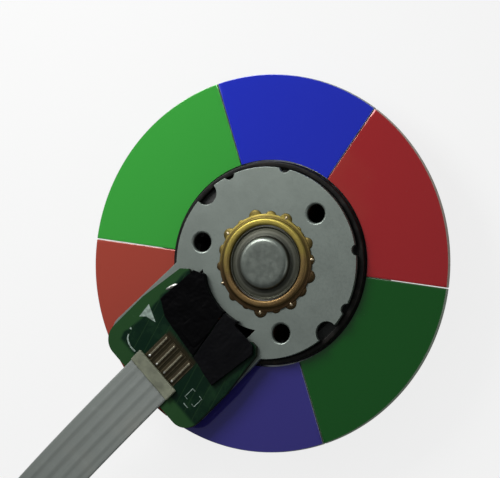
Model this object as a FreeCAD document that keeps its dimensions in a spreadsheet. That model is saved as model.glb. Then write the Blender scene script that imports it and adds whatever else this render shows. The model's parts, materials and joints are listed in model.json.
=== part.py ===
import FreeCAD, Part
import math
import os
import re
import Sketcher

# Projector color wheel: six coloured glass segments on a small outer-rotor motor, with its ribbon cable.
# Millimetres. +Z is the spin axis and points to the base plate's side, which the photograph shows.
# The origin is on the axis, at the front face of the hub. The plate's tongue and the cable point along -Y.

doc = FreeCAD.newDocument("ColorWheel")
Vector = FreeCAD.Vector

# Driving sizes: name, value, what it is
SIZES = (
    ("hub_floor", 0.8, "thickness of the hub's front web"),
    ("hub_eye", 3.2, "radius of the hole in the web, round the shaft's end"),
    ("hub_wall", 1.15, "thickness of the hub's wall"),
    ("hub_fit", 0.02, "radial clearance between the hub and the rotor can"),
    ("hub_edge", 0.4, "chamfer round the hub's front"),
    ("hub_height", 4.6, "front face to the seat of the glass"),
    ("flange_width", 0.8, "how far the flange reaches past the hub's wall"),
    ("flange_thickness", 0.7, "thickness of the flange"),
    ("flange_relief", 0.3, "fillet under the flange"),
    ("groove_margin", 1.82, "hub wall to the balancing groove"),
    ("groove_width", 1.8, "width of the balancing groove"),
    ("groove_depth", 0.4, "depth of the balancing groove"),
    ("putty_margin", 0.2, "bare groove on each side of the balancing putty"),
    ("putty_depth", 0.3, "thickness of the balancing putty"),
    ("putty_start", 200, "where the putty starts, in degrees"),
    ("putty_angle", 34, "how far the putty reaches, in degrees"),
    ("mark_thickness", 0.05, "thickness of the timing mark"),
    ("mark_level", 1.0, "lower edge of the timing mark"),
    ("mark_height", 2.0, "height of the timing mark"),
    ("mark_angle", 24, "how far the timing mark reaches, in degrees"),
    ("disc_radius", 20, "outer radius of the glass"),
    ("glass_thickness", 0.7, "thickness of the glass"),
    ("glass_gap", 0.2, "radial gap between the glass and the rotor can"),
    ("seam_gap", 0.1, "gap between two segments, at the rim"),
    ("glue_thickness", 0.1, "thickness of the glue under the glass"),
    ("glue_margin", 0.2, "bare edge on each side of the glue"),
    ("first_seam", 39.35, "where the first red segment starts, in degrees"),
    ("red_angle", 62, "size of a red segment, in degrees"),
    ("blue_angle", 53.5, "size of a blue segment, in degrees"),
    ("can_radius", 10.75, "outer radius of the rotor can"),
    ("can_wall", 0.6, "wall of the rotor can"),
    ("can_floor", 0.8, "thickness of the can's closed end"),
    ("can_height", 5.2, "height of the rotor can"),
    ("can_corner", 0.5, "outer rounding of the can's closed end"),
    ("magnet_thickness", 1.1, "radial thickness of the magnet ring"),
    ("magnet_height", 3.4, "height of the magnet ring"),
    ("magnet_lift", 0.4, "can floor to magnet ring"),
    ("air_gap", 0.2, "radial gap between magnet and stator"),
    ("shaft_radius", 1.5, "radius of the shaft"),
    ("shaft_stub", 0.3, "how far the shaft passes the can's closed end"),
    ("shaft_tip", 0.25, "how far the shaft passes the clip"),
    ("shaft_edge", 0.2, "chamfer of the shaft's ends"),
    ("clip_depth", 0.25, "depth of the clip's groove in the shaft"),
    ("clip_radius", 2.2, "outer radius of the retaining clip"),
    ("clip_thickness", 0.3, "thickness of the retaining clip"),
    ("clip_mouth", 1.9, "opening of the retaining clip"),
    ("clip_relief", 0.3, "radius of the clip's two inner reliefs"),
    ("spacer_radius", 2.2, "outer radius of the thrust spacer"),
    ("spacer_height", 0.35, "can floor to lower bearing"),
    ("bearing_radius", 4.0, "outer radius of both bearings"),
    ("bearing_width", 2.0, "width of a bearing"),
    ("inner_share", 0.34, "share of a bearing's radial width that is its inner race"),
    ("outer_share", 0.28, "share of a bearing's radial width that is its outer race"),
    ("ball_bite", 0.125, "how deep a ball sits in each race"),
    ("ball_count", 8, "balls in one bearing"),
    ("ball_play", 0.03, "clearance round a ball"),
    ("cage_play", 0.15, "clearance between the cage and the races"),
    ("cage_rim", 0.12, "rim of a cage beside a ball's pocket"),
    ("housing_wall", 0.8, "wall of the bearing housing"),
    ("step_lip", 0.6, "how far the step between the bearings stands in"),
    ("step_thickness", 0.45, "thickness of the step between the bearings"),
    ("spring_height", 0.25, "height of the disc spring"),
    ("spring_thickness", 0.12, "thickness of the disc spring"),
    ("spring_margin", 0.04, "radial clearance of the disc spring"),
    ("shoulder_width", 0.4, "shoulder that the stator seats on"),
    ("shoulder_height", 1.4, "stator to plate"),
    ("seat_width", 1.2, "flange under the plate past the housing's wall"),
    ("seat_thickness", 0.5, "thickness of the flange under the plate"),
    ("spigot_width", 0.1, "spigot through the plate past the housing's wall"),
    ("collar_width", 0.45, "staked collar past the spigot"),
    ("collar_edge", 0.22, "thickness of the collar's edge"),
    ("rim_thickness", 0.5, "wall of the collar's upstanding rim"),
    ("rim_rise", 0.2, "rim above the cap's flange"),
    ("rim_chamfer", 0.12, "chamfer inside the rim"),
    ("crimp_count", 9, "teeth of the staked collar"),
    ("crimp_reach", 0.33, "how far a tooth reaches past the collar"),
    ("crimp_foot", 0.35, "how far a tooth's foot lies inside the collar"),
    ("crimp_width", 1.5, "width of a tooth at its foot"),
    ("crimp_tip", 0.45, "width of a tooth at its tip"),
    ("crimp_angle", 30.7, "where the first tooth is, in degrees"),
    ("cap_play", 0.02, "radial clearance of the end cap in the housing"),
    ("cap_wall", 0.3, "sheet thickness of the end cap"),
    ("cap_height", 0.95, "height of the end cap"),
    ("boss_radius", 2.7, "radius of the cap's boss at its top"),
    ("boss_draft", 0.15, "how much wider the boss is at its foot"),
    ("boss_round", 0.4, "rounding of the boss's edge"),
    ("boss_foot", 0.15, "fillet at the foot of the boss"),
    ("core_height", 1.8, "height of the stator core"),
    ("yoke_share", 0.25, "share of the core's radial width that is its yoke"),
    ("tooth_count", 9, "teeth of the stator"),
    ("tooth_width", 1.3, "width of a stator tooth"),
    ("tip_thickness", 0.6, "thickness of a tooth's tip"),
    ("tip_slope", 0.25, "slope behind a tooth's tip"),
    ("slot_mouth", 0.8, "opening between two tooth tips"),
    ("insulator_thickness", 0.25, "thickness of a stator insulator"),
    ("insulator_edge", 0.12, "how far an insulator stays inside the core's rim"),
    ("coil_gap", 0.3, "yoke to coil"),
    ("coil_margin", 0.2, "coil to a tooth's tip"),
    ("coil_thickness", 0.7, "winding beside a tooth"),
    ("coil_overhang", 0.45, "winding above and below the insulators"),
    ("coil_play", 0.05, "clearance between a tooth and its coil"),
    ("coil_corner", 0.4, "outer rounding of a coil"),
    ("rim_gap", 0.2, "can rim to base plate"),
    ("plate_inset", 0.58, "how far the plate's edge lies inside the can's wall"),
    ("plate_thickness", 0.5, "thickness of the base plate"),
    ("hole_radius", 1.0, "radius of a mounting hole"),
    ("hole_circle", 7.62, "radius of the circle of mounting holes"),
    ("notch_radius", 1.2, "radius of a large edge notch"),
    ("notch_depth", 1.3, "depth of a large edge notch"),
    ("nick_radius", 0.6, "radius of a small edge notch"),
    ("nick_depth", 0.45, "depth of a small edge notch"),
    ("nick_low", 18.5, "angle of a lower small notch"),
    ("nick_high", 54.5, "angle of an upper small notch"),
    ("tongue_neck", 6.95, "half width of the tongue at its root"),
    ("tongue_half", 7.25, "half width of the tongue at its end"),
    ("tongue_reach", 8.33, "end of the tongue past the plate's radius"),
    ("tongue_corner", 2.2, "corner radius of the tongue"),
    ("window_margin", 0.82, "window to the plate's radius"),
    ("window_width", 2.15, "radial width of the window"),
    ("window_half", 4.4, "half width of the window"),
    ("board_thickness", 0.6, "thickness of the circuit board"),
    ("board_shift", 0.25, "how far the board and the ribbon sit to one side of the tongue"),
    ("board_lap", 1.25, "window's inner edge to the board's hollow edge"),
    ("board_rise", 0.55, "board's horns past the window's inner edge"),
    ("board_cheek", 0.7, "cut corner of a horn"),
    ("board_neck", 6.35, "half width of the board at its horns"),
    ("board_half", 7.05, "half width of the board at its end"),
    ("board_shoulder", 2.3, "plate's radius to where the board has its full width"),
    ("board_overhang", 0.5, "board past the end of the tongue"),
    ("board_corner", 2.0, "corner radius of the board"),
    ("pad_thickness", 0.05, "thickness of a solder pad"),
    ("lead_radius", 0.08, "radius of a coil lead"),
    ("lead_pitch", 0.6, "spacing of the coil leads"),
    ("lead_inset", 0.3, "window's inner edge to where the leads rise"),
    ("lead_bend", 0.3, "bend radius of a lead"),
    ("lead_reach", 2.85, "length of the leads on the board"),
    ("lead_pad", 1.3, "length of a lead's pad"),
    ("lead_pad_width", 0.4, "width of a lead's pad"),
    ("cover_thickness", 0.4, "thickness of the black cover"),
    ("cover_step", 0.08, "how much higher the grey cover is"),
    ("cover_lip", 0.45, "width of the cover's lip on the plate"),
    ("cover_tunnel", 0.25, "height of the tunnel for the leads"),
    ("cover_margin", 0.5, "tunnel past the outermost lead"),
    ("cover_side", 0.5, "cover past the window's side"),
    ("cover_corner", 1.1, "cut corner of a cover on the plate"),
    ("cover_cut", 1.5, "cut corner of a cover on the board"),
    ("cover_flare", 0.35, "black cover's widening towards its outer corner"),
    ("cover_gap", 1.1, "how much more of the window the grey cover leaves open"),
    ("cover_inset", 0.2, "grey cover inside the board's edge"),
    ("cover_reach", 4.15, "cover past the board's hollow edge"),
    ("cover_slant", 0.5, "slant of the covers' outer edge"),
    ("seam_root", 0.65, "where the covers meet on the plate"),
    ("seam_end", 1.95, "where the covers meet at their outer edge"),
    ("conductor_pitch", 1.25, "spacing of the ribbon's conductors"),
    ("conductor_width", 0.7, "width of a conductor"),
    ("conductor_thickness", 0.1, "thickness of a conductor"),
    ("conductor_length", 3.2, "length of the bare conductors"),
    ("conductor_pad", 0.9, "width of a conductor's pad"),
    ("bar_half", 3.0, "half width of the cream bar"),
    ("bar_depth", 1.5, "depth of the cream bar"),
    ("bar_setback", 1.1, "cream bar to the board's end"),
    ("bar_height", 0.5, "height of the cream bar"),
    ("ribbon_width", 5.8, "width of the ribbon cable"),
    ("ribbon_thickness", 0.3, "thickness of the ribbon cable"),
    ("ribbon_lift", 0.2, "board to the ribbon's middle line"),
    ("end_length", 6.0, "length of the ribbon's far contact end"),
    ("contact_length", 4.0, "length of a far contact"),
    ("contact_thickness", 0.05, "thickness of a far contact"),
)

# Derived sizes: name, formula
DERIVED = (
    ("hub_bore", "can_radius + hub_fit"),
    ("hub_radius", "hub_bore + hub_wall"),
    ("groove_outer", "hub_radius - groove_margin"),
    ("groove_inner", "groove_outer - groove_width"),
    ("flange_radius", "hub_radius + flange_width"),
    ("glass_level", "hub_height + glue_thickness"),
    ("glass_bore", "can_radius + glass_gap"),
    ("green_angle", "180 - red_angle - blue_angle"),
    ("seam_angle", "seam_gap / disc_radius * 180 / pi"),
    ("can_bore", "can_radius - can_wall"),
    ("can_inside", "hub_floor + can_floor"),
    ("can_rim", "hub_floor + can_height"),
    ("magnet_bore", "can_bore - magnet_thickness"),
    ("magnet_level", "can_inside + magnet_lift"),
    ("low_bearing", "can_inside + spacer_height"),
    ("low_bearing_top", "low_bearing + bearing_width"),
    ("step_top", "low_bearing_top + step_thickness"),
    ("high_bearing", "step_top + spring_height"),
    ("high_bearing_top", "high_bearing + bearing_width"),
    ("inner_race", "shaft_radius + (bearing_radius - shaft_radius) * inner_share"),
    ("outer_race", "bearing_radius - (bearing_radius - shaft_radius) * outer_share"),
    ("ball_circle", "(inner_race + outer_race) / 2"),
    ("ball_radius", "(outer_race - inner_race) / 2 + ball_bite"),
    ("cage_height", "2 * (ball_radius + ball_play + cage_rim)"),
    ("step_radius", "bearing_radius - step_lip"),
    ("clip_top", "high_bearing_top + clip_thickness"),
    ("shaft_top", "clip_top + shaft_tip"),
    ("clip_bore", "shaft_radius - clip_depth"),
    ("plate_radius", "can_radius - plate_inset"),
    ("plate_level", "can_rim + rim_gap"),
    ("plate_top", "plate_level + plate_thickness"),
    ("core_radius", "magnet_bore - air_gap"),
    ("core_top", "plate_level - shoulder_height"),
    ("core_level", "core_top - core_height"),
    ("housing_radius", "bearing_radius + housing_wall"),
    ("shoulder_radius", "housing_radius + shoulder_width"),
    ("seat_radius", "housing_radius + seat_width"),
    ("spigot_radius", "housing_radius + spigot_width"),
    ("collar_radius", "spigot_radius + collar_width"),
    ("yoke_radius", "housing_radius + (core_radius - housing_radius) * yoke_share"),
    ("cap_flange_top", "high_bearing_top + cap_wall"),
    ("cap_top", "high_bearing_top + cap_height"),
    ("rim_top", "cap_flange_top + rim_rise"),
    ("coil_inner", "tooth_width / 2 + coil_play"),
    ("coil_outer", "coil_inner + coil_thickness"),
    ("coil_inner_top", "core_top + insulator_thickness"),
    ("coil_inner_base", "core_level - insulator_thickness"),
    ("coil_top", "coil_inner_top + coil_overhang"),
    ("coil_base", "coil_inner_base - coil_overhang"),
    ("tip_base", "core_radius - tip_thickness"),
    ("coil_start", "yoke_radius + coil_gap"),
    ("coil_length", "tip_base - tip_slope - coil_margin - coil_start"),
    ("window_outer", "plate_radius - window_margin"),
    ("window_inner", "window_outer - window_width"),
    ("board_inner", "window_inner + board_lap"),
    ("board_brow", "window_inner - board_rise"),
    ("board_waist", "plate_radius + board_shoulder"),
    ("tongue_end", "plate_radius + tongue_reach"),
    ("board_end", "tongue_end + board_overhang"),
    ("board_top", "plate_top + board_thickness"),
    ("pad_top", "board_top + pad_thickness"),
    ("lead_level", "pad_top + lead_radius"),
    ("lead_place", "window_inner + lead_inset"),
    ("lead_end", "board_inner + lead_reach"),
    ("tunnel_half", "1.5 * lead_pitch + cover_margin"),
    ("cover_root", "window_inner - cover_lip"),
    ("cover_end", "board_inner + cover_reach"),
    ("bar_end", "board_end - bar_setback"),
    ("bar_start", "bar_end - bar_depth"),
    ("conductor_end", "bar_start - conductor_length"),
    ("ribbon_level", "board_top + ribbon_lift"),
)


def filled_sheet(name, rows):
    """A spreadsheet with one named cell in each row."""
    sheet = doc.addObject("Spreadsheet::Sheet", name)
    for row, (alias, content, note) in enumerate(rows, start=1):
        sheet.set(f"A{row}", alias)
        sheet.set(f"B{row}", content)
        sheet.set(f"C{row}", note)
        sheet.setAlias(f"B{row}", alias)
    return sheet


OWNER = {alias: "Sizes" for alias, _, _ in SIZES}
OWNER.update({alias: "Derived" for alias, _ in DERIVED})


def full(text):
    """The formula with each name written as its sheet's cell."""
    return re.sub(r"[a-z_]+", lambda found: named(found.group()), str(text))


def named(word):
    return f"{OWNER[word]}.{word}" if word in OWNER else word


sizes = filled_sheet("Sizes", [(alias, str(value), note) for alias, value, note in SIZES])
derived = filled_sheet("Derived", [(alias, "=" + full(text), text) for alias, text in DERIVED])
doc.recompute()


def value(text):
    """What a formula comes to."""
    return float(sizes.evalExpression(full(text)))


def bind(thing, **formulas):
    """Ties properties of an object to formulas; two underscores stand for a dot."""
    for name, text in formulas.items():
        thing.setExpression(name.replace("__", "."), full(text))


def turn(thing, formula):
    """Turns an object about the spin axis."""
    thing.Placement.Rotation = FreeCAD.Rotation(Vector(0, 0, 1), value(formula))
    bind(thing, Placement__Rotation__Angle=formula)


# Sketches and features of a body

def new_body(label):
    body = doc.addObject("PartDesign::Body", label)
    body.Label = label
    body.AllowCompound = True
    return body


def origin_part(body, role):
    return next(part for part in body.Origin.OriginFeatures if part.Role == role)


def new_sketch(body, name, plane, offset):
    sketch = body.newObject("Sketcher::SketchObject", name)
    sketch.AttachmentSupport = [(origin_part(body, plane), "")]
    sketch.MapMode = "FlatFace"
    bind(sketch, AttachmentOffset__Base__z=offset)
    return sketch


def hold(sketch, kind, index, point, formula):
    """Holds one coordinate of a point of the sketch at a formula."""
    constraint = Sketcher.Constraint(kind, -1, 1, index, point, value(formula))
    number = sketch.addConstraint(constraint)
    sketch.setExpression(f"Constraints[{number}]", full(formula))


def draw_outline(sketch, corners):
    """A closed outline of straight lines through corners, each a pair of formulas."""
    places = [Vector(value(across), value(up), 0) for across, up in corners]
    first = sketch.GeometryCount
    count = len(corners)
    for number, place in enumerate(places):
        sketch.addGeometry(Part.LineSegment(place, places[(number + 1) % count]))
    for number in range(count):
        following = first + (number + 1) % count
        sketch.addConstraint(Sketcher.Constraint("Coincident", first + number, 2, following, 1))
    for number, (across, up) in enumerate(corners):
        hold(sketch, "DistanceX", first + number, 1, across)
        hold(sketch, "DistanceY", first + number, 1, up)


def draw_circles(sketch, circles):
    """Circles, each the formulas of its middle and radius."""
    for across, up, radius in circles:
        middle = Vector(value(across), value(up), 0)
        number = sketch.addGeometry(Part.Circle(middle, Vector(0, 0, 1), value(radius)))
        hold(sketch, "DistanceX", number, 3, across)
        hold(sketch, "DistanceY", number, 3, up)
        held = sketch.addConstraint(Sketcher.Constraint("Radius", number, value(radius)))
        sketch.setExpression(f"Constraints[{held}]", full(radius))


def outline_sketch(body, name, corners, plane="XY_Plane", offset="0"):
    sketch = new_sketch(body, name, plane, offset)
    draw_outline(sketch, corners)
    return sketch


def circle_sketch(body, name, circles, plane="XY_Plane", offset="0"):
    sketch = new_sketch(body, name, plane, offset)
    draw_circles(sketch, circles)
    return sketch


def pad(body, sketch, length):
    feature = body.newObject("PartDesign::Pad", sketch.Name + "_pad")
    feature.Profile = sketch
    bind(feature, Length=length)
    doc.recompute()
    return feature


def pocket(body, sketch, length):
    """Cuts from the sketch along its normal, and makes sure that something was cut."""
    before = body.Shape.Volume
    feature = body.newObject("PartDesign::Pocket", sketch.Name + "_pocket")
    feature.Profile = sketch
    feature.Reversed = True
    bind(feature, Length=length)
    doc.recompute()
    if feature.Shape.Volume >= before:
        raise ValueError(f"{sketch.Name} cuts nothing")
    return feature


def revolved(label, corners):
    """A body turned from an outline of radii and heights."""
    body = new_body(label)
    sketch = outline_sketch(body, label + "_profile", corners, "XZ_Plane")
    feature = body.newObject("PartDesign::Revolution", label + "_turned")
    feature.Profile = sketch
    feature.ReferenceAxis = (sketch, ["V_Axis"])
    feature.Angle = 360
    doc.recompute()
    return body


def grooved(body, name, corners):
    """Turns a groove into a body."""
    before = body.Shape.Volume
    sketch = outline_sketch(body, name, corners, "XZ_Plane")
    feature = body.newObject("PartDesign::Groove", name + "_cut")
    feature.Profile = sketch
    feature.ReferenceAxis = (sketch, ["V_Axis"])
    feature.Angle = 360
    doc.recompute()
    if feature.Shape.Volume >= before:
        raise ValueError(f"{name} cuts nothing")


def patterned(body, feature, count, whole=False):
    """Repeats a feature, or the whole body, around the spin axis."""
    pattern = body.newObject("PartDesign::PolarPattern", feature.Name + "_around")
    if whole:
        pattern.TransformMode = "Whole shape"
    else:
        pattern.Originals = [feature]
    pattern.Axis = (origin_part(body, "Z_Axis"), [""])
    pattern.Angle = 360
    bind(pattern, Occurrences=count)
    body.Tip = pattern
    doc.recompute()


def rounded(body, test, radius):
    """Rounds the edges of the body for which the test holds."""
    base = body.Tip
    names = [f"Edge{number}" for number, edge in enumerate(base.Shape.Edges, start=1) if test(edge)]
    if not names:
        raise ValueError(f"{body.Label} has no such edge")
    feature = body.newObject("PartDesign::Fillet", body.Label + "_rounded")
    feature.Base = (base, names)
    bind(feature, Radius=radius)
    doc.recompute()


def is_circle(radius, level):
    """A test for the round edge of that radius at that height."""
    def test(edge):
        curve = edge.Curve
        return (
            isinstance(curve, Part.Circle)
            and abs(curve.Radius - value(radius)) < 1e-4
            and abs(curve.Center.z - value(level)) < 1e-4
        )
    return test


def is_upright(side, reach):
    """A test for upright edges at x = +-side and y = -reach."""
    def test(edge):
        box = edge.BoundBox
        return (
            box.ZLength > 1e-3
            and box.XLength < 1e-4
            and abs(abs(box.XMin) - value(side)) < 1e-3
            and abs(box.YMin + value(reach)) < 1e-3
        )
    return test


# Primitives and booleans

def primitive(kind, name, **formulas):
    thing = doc.addObject(kind, name)
    bind(thing, **formulas)
    return thing


def without(label, base, tool):
    """The first solid less the second."""
    result = doc.addObject("Part::Cut", label)
    result.Label = label
    result.Base = base
    result.Tool = tool
    return result


def together(label, things):
    """Separate solids under one label."""
    result = doc.addObject("Part::Compound", label)
    result.Label = label
    result.Links = things
    return result


def cylinder(name, radius, level, height):
    return primitive("Part::Cylinder", name, Radius=radius, Height=height, Placement__Base__z=level)


def ring(label, outer, inner, level, height):
    whole = cylinder(label + "_outside", outer, level, height)
    hole = cylinder(label + "_inside", inner, level, height)
    return without(label, whole, hole)


def sector(label, outer, inner, level, height, start, angle):
    """A slice of a ring that starts at one angle and spans another."""
    whole = cylinder(label + "_outside", outer, level, height)
    bind(whole, Angle=angle)
    turn(whole, start)
    hole = cylinder(label + "_inside", inner, level, height)
    return without(label, whole, hole)


def block(name, middle, width, near, length, level, height):
    """A box centred at x = middle that runs along -Y from y = -near."""
    return primitive(
        "Part::Box",
        name,
        Length=width,
        Width=length,
        Height=height,
        Placement__Base__x=f"{middle} - ({width}) / 2",
        Placement__Base__y=f"-({near}) - ({length})",
        Placement__Base__z=level,
    )


# The wheel: hub, glass, rotor and shaft

def make_hub_carrier():
    body = revolved("hub_carrier", (
        ("hub_eye", "0"),
        ("hub_radius - hub_edge", "0"),
        ("hub_radius", "hub_edge"),
        ("hub_radius", "hub_height - flange_thickness"),
        ("flange_radius", "hub_height - flange_thickness"),
        ("flange_radius", "hub_height"),
        ("hub_bore", "hub_height"),
        ("hub_bore", "hub_floor"),
        ("hub_eye", "hub_floor"),
    ))
    grooved(body, "balancing_groove", (
        ("groove_inner", "0"),
        ("groove_outer", "0"),
        ("groove_outer", "groove_depth"),
        ("groove_inner", "groove_depth"),
    ))
    rounded(body, is_circle("hub_radius", "hub_height - flange_thickness"), "flange_relief")
    return body


def make_balance_putty():
    return sector(
        "balance_putty",
        "groove_outer - putty_margin",
        "groove_inner + putty_margin",
        "groove_depth - putty_depth",
        "putty_depth",
        "putty_start",
        "putty_angle",
    )


def make_index_mark():
    return sector(
        "index_mark",
        "hub_radius + mark_thickness",
        "hub_radius",
        "mark_level",
        "mark_height",
        "first_seam - mark_angle / 2",
        "mark_angle",
    )


def make_adhesive_ring():
    return ring(
        "adhesive_ring",
        "flange_radius - glue_margin",
        "glass_bore + glue_margin",
        "hub_height",
        "glue_thickness",
    )


def make_glass():
    """Red, blue and green segments, twice round."""
    start = "first_seam"
    segments = []
    for turn_letter in ("a", "b"):
        for colour in ("red", "blue", "green"):
            segments.append(sector(
                f"{colour}_glass_{turn_letter}",
                "disc_radius",
                "glass_bore",
                "glass_level",
                "glass_thickness",
                f"{start} + seam_angle / 2",
                f"{colour}_angle - seam_angle",
            ))
            start = f"{start} + {colour}_angle"
    return segments


def make_rotor_can():
    body = revolved("rotor_can", (
        ("shaft_radius", "hub_floor"),
        ("can_radius", "hub_floor"),
        ("can_radius", "can_rim"),
        ("can_bore", "can_rim"),
        ("can_bore", "can_inside"),
        ("shaft_radius", "can_inside"),
    ))
    rounded(body, is_circle("can_radius", "hub_floor"), "can_corner")
    return body


def make_magnet_ring():
    return ring("magnet_ring", "can_bore", "magnet_bore", "magnet_level", "magnet_height")


def make_shaft():
    return revolved("shaft", (
        ("0", "hub_floor - shaft_stub"),
        ("shaft_radius - shaft_edge", "hub_floor - shaft_stub"),
        ("shaft_radius", "hub_floor - shaft_stub + shaft_edge"),
        ("shaft_radius", "high_bearing_top"),
        ("clip_bore", "high_bearing_top"),
        ("clip_bore", "clip_top"),
        ("shaft_radius", "clip_top"),
        ("shaft_radius", "shaft_top - shaft_edge"),
        ("shaft_radius - shaft_edge", "shaft_top"),
        ("0", "shaft_top"),
    ))


def make_retaining_clip():
    body = new_body("retaining_clip")
    ring_sketch = circle_sketch(
        body,
        "clip_ring",
        (("0", "0", "clip_radius"), ("0", "0", "clip_bore")),
        offset="high_bearing_top",
    )
    pad(body, ring_sketch, "clip_thickness")
    mouth = outline_sketch(body, "clip_opening", (
        ("-clip_mouth / 2", "0"),
        ("clip_mouth / 2", "0"),
        ("clip_mouth / 2", "clip_radius * 1.5"),
        ("-clip_mouth / 2", "clip_radius * 1.5"),
    ), offset="high_bearing_top")
    pocket(body, mouth, "clip_thickness")
    reliefs = circle_sketch(body, "clip_reliefs", (
        ("clip_bore * cos(30)", "-clip_bore * sin(30)", "clip_relief"),
        ("-clip_bore * cos(30)", "-clip_bore * sin(30)", "clip_relief"),
    ), offset="high_bearing_top")
    pocket(body, reliefs, "clip_thickness")
    return body


def make_thrust_spacer():
    return ring("thrust_spacer", "spacer_radius", "shaft_radius", "can_inside", "spacer_height")


# The two ball bearings

def make_cage(label, middle):
    """A ring between the races with a round pocket for each ball."""
    body = new_body(label)
    outer = "outer_race - cage_play"
    inner = "inner_race + cage_play"
    blank = circle_sketch(
        body,
        label + "_blank",
        (("0", "0", outer), ("0", "0", inner)),
        offset=f"{middle} - cage_height / 2",
    )
    pad(body, blank, "cage_height")
    hole = circle_sketch(
        body,
        label + "_pocket",
        (("0", middle, "ball_radius + ball_play"),),
        "YZ_Plane",
        "inner_race / 2",
    )
    patterned(body, pocket(body, hole, "outer_race"), "ball_count")
    return body


def make_bearing(side, level):
    """Races, balls and cage of one bearing; the races are grooved for the balls."""
    middle = f"{level} + bearing_width / 2"

    def raceway(name):
        return primitive(
            "Part::Torus",
            name,
            Radius1="ball_circle",
            Radius2="ball_radius + ball_play",
            Placement__Base__z=middle,
        )

    inner_blank = ring(f"{side}_inner_blank", "inner_race", "shaft_radius", level, "bearing_width")
    inner = without(f"{side}_inner_race", inner_blank, raceway(f"{side}_inner_raceway"))
    outer_blank = ring(f"{side}_outer_blank", "bearing_radius", "outer_race", level, "bearing_width")
    outer = without(f"{side}_outer_race", outer_blank, raceway(f"{side}_outer_raceway"))
    balls = [
        primitive(
            "Part::Sphere",
            f"{side}_ball_{number}",
            Radius="ball_radius",
            Placement__Base__x=f"ball_circle * cos({number} * 360 / ball_count)",
            Placement__Base__y=f"ball_circle * sin({number} * 360 / ball_count)",
            Placement__Base__z=middle,
        )
        for number in range(int(value("ball_count")))
    ]
    cage = make_cage(f"{side}_cage", middle)
    return [inner, outer, cage, together(f"{side}_balls", balls)]


# The base: housing, cap, stator, plate and board

def make_bearing_housing():
    """Turned brass bush with a step between the bearings, staked over the plate."""
    body = revolved("bearing_housing", (
        ("bearing_radius", "low_bearing"),
        ("housing_radius", "low_bearing"),
        ("housing_radius", "core_top"),
        ("shoulder_radius", "core_top"),
        ("shoulder_radius", "plate_level - seat_thickness"),
        ("seat_radius", "plate_level - seat_thickness"),
        ("seat_radius", "plate_level"),
        ("spigot_radius", "plate_level"),
        ("spigot_radius", "plate_top"),
        ("collar_radius", "plate_top"),
        ("collar_radius", "plate_top + collar_edge"),
        ("bearing_radius + rim_thickness", "rim_top - rim_chamfer"),
        ("bearing_radius + rim_thickness - rim_chamfer", "rim_top"),
        ("bearing_radius + rim_chamfer", "rim_top"),
        ("bearing_radius", "rim_top - rim_chamfer"),
        ("bearing_radius", "step_top"),
        ("step_radius", "step_top"),
        ("step_radius", "low_bearing_top"),
        ("bearing_radius", "low_bearing_top"),
    ))
    tooth = outline_sketch(body, "crimp_tooth", (
        ("collar_radius - crimp_foot", "-crimp_width / 2"),
        ("collar_radius + crimp_reach", "-crimp_tip / 2"),
        ("collar_radius + crimp_reach", "crimp_tip / 2"),
        ("collar_radius - crimp_foot", "crimp_width / 2"),
    ), offset="plate_top")
    patterned(body, pad(body, tooth, "collar_edge"), "crimp_count")
    turn(body, "crimp_angle")
    return body


def make_end_cap():
    """Pressed top hat that closes the housing over the upper bearing."""
    body = revolved("end_cap", (
        ("boss_radius + boss_draft - cap_wall", "high_bearing_top"),
        ("bearing_radius - cap_play", "high_bearing_top"),
        ("bearing_radius - cap_play", "cap_flange_top"),
        ("boss_radius + boss_draft", "cap_flange_top"),
        ("boss_radius", "cap_top"),
        ("0", "cap_top"),
        ("0", "cap_top - cap_wall"),
        ("boss_radius - cap_wall", "cap_top - cap_wall"),
    ))
    rounded(body, is_circle("boss_radius", "cap_top"), "boss_round")
    rounded(body, is_circle("boss_radius + boss_draft", "cap_flange_top"), "boss_foot")
    return body


def make_preload_spring():
    """Disc spring that pushes the outer races apart."""
    low = "step_radius + spring_margin"
    high = "bearing_radius - spring_margin"
    return revolved("preload_spring", (
        (low, "step_top"),
        (high, "high_bearing - spring_thickness"),
        (high, "high_bearing"),
        (low, "step_top + spring_thickness"),
    ))


def slot_corners(reach, edge):
    """Half a slot's opening, its flare behind the tooth tips and its foot at the yoke."""
    half_angle = "180 / tooth_count"
    flare = f"({reach} - tip_slope)"

    def beside_tooth(across):
        return f"{across} * tan({half_angle}) - (tooth_width / 2 + {edge}) / cos({half_angle})"

    half = [
        ("core_radius * 1.1", "slot_mouth / 2"),
        (reach, "slot_mouth / 2"),
        (flare, beside_tooth(flare)),
        ("yoke_radius", beside_tooth("yoke_radius")),
    ]
    mirrored = [(across, f"-({up})") for across, up in reversed(half)]
    return half + mirrored


def slotted_ring(label, inner, outer, level, height, edge):
    """A ring with one slot between each two teeth."""
    body = new_body(label)
    blank = circle_sketch(body, label + "_blank", (("0", "0", outer), ("0", "0", inner)), offset=level)
    pad(body, blank, height)
    slot = outline_sketch(body, label + "_slot", slot_corners("tip_base", edge), offset=level)
    patterned(body, pocket(body, slot, height), "tooth_count")
    turn(body, "-90 - 180 / tooth_count")
    return body


def make_stator():
    core = slotted_ring("stator_core", "housing_radius", "core_radius", "core_level", "core_height", "0")
    insulators = [
        slotted_ring(
            label,
            "shoulder_radius",
            "core_radius - insulator_edge",
            level,
            "insulator_thickness",
            "coil_play / 2",
        )
        for label, level in (("lower_insulator", "coil_inner_base"), ("upper_insulator", "core_top"))
    ]
    return [core] + insulators


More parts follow.
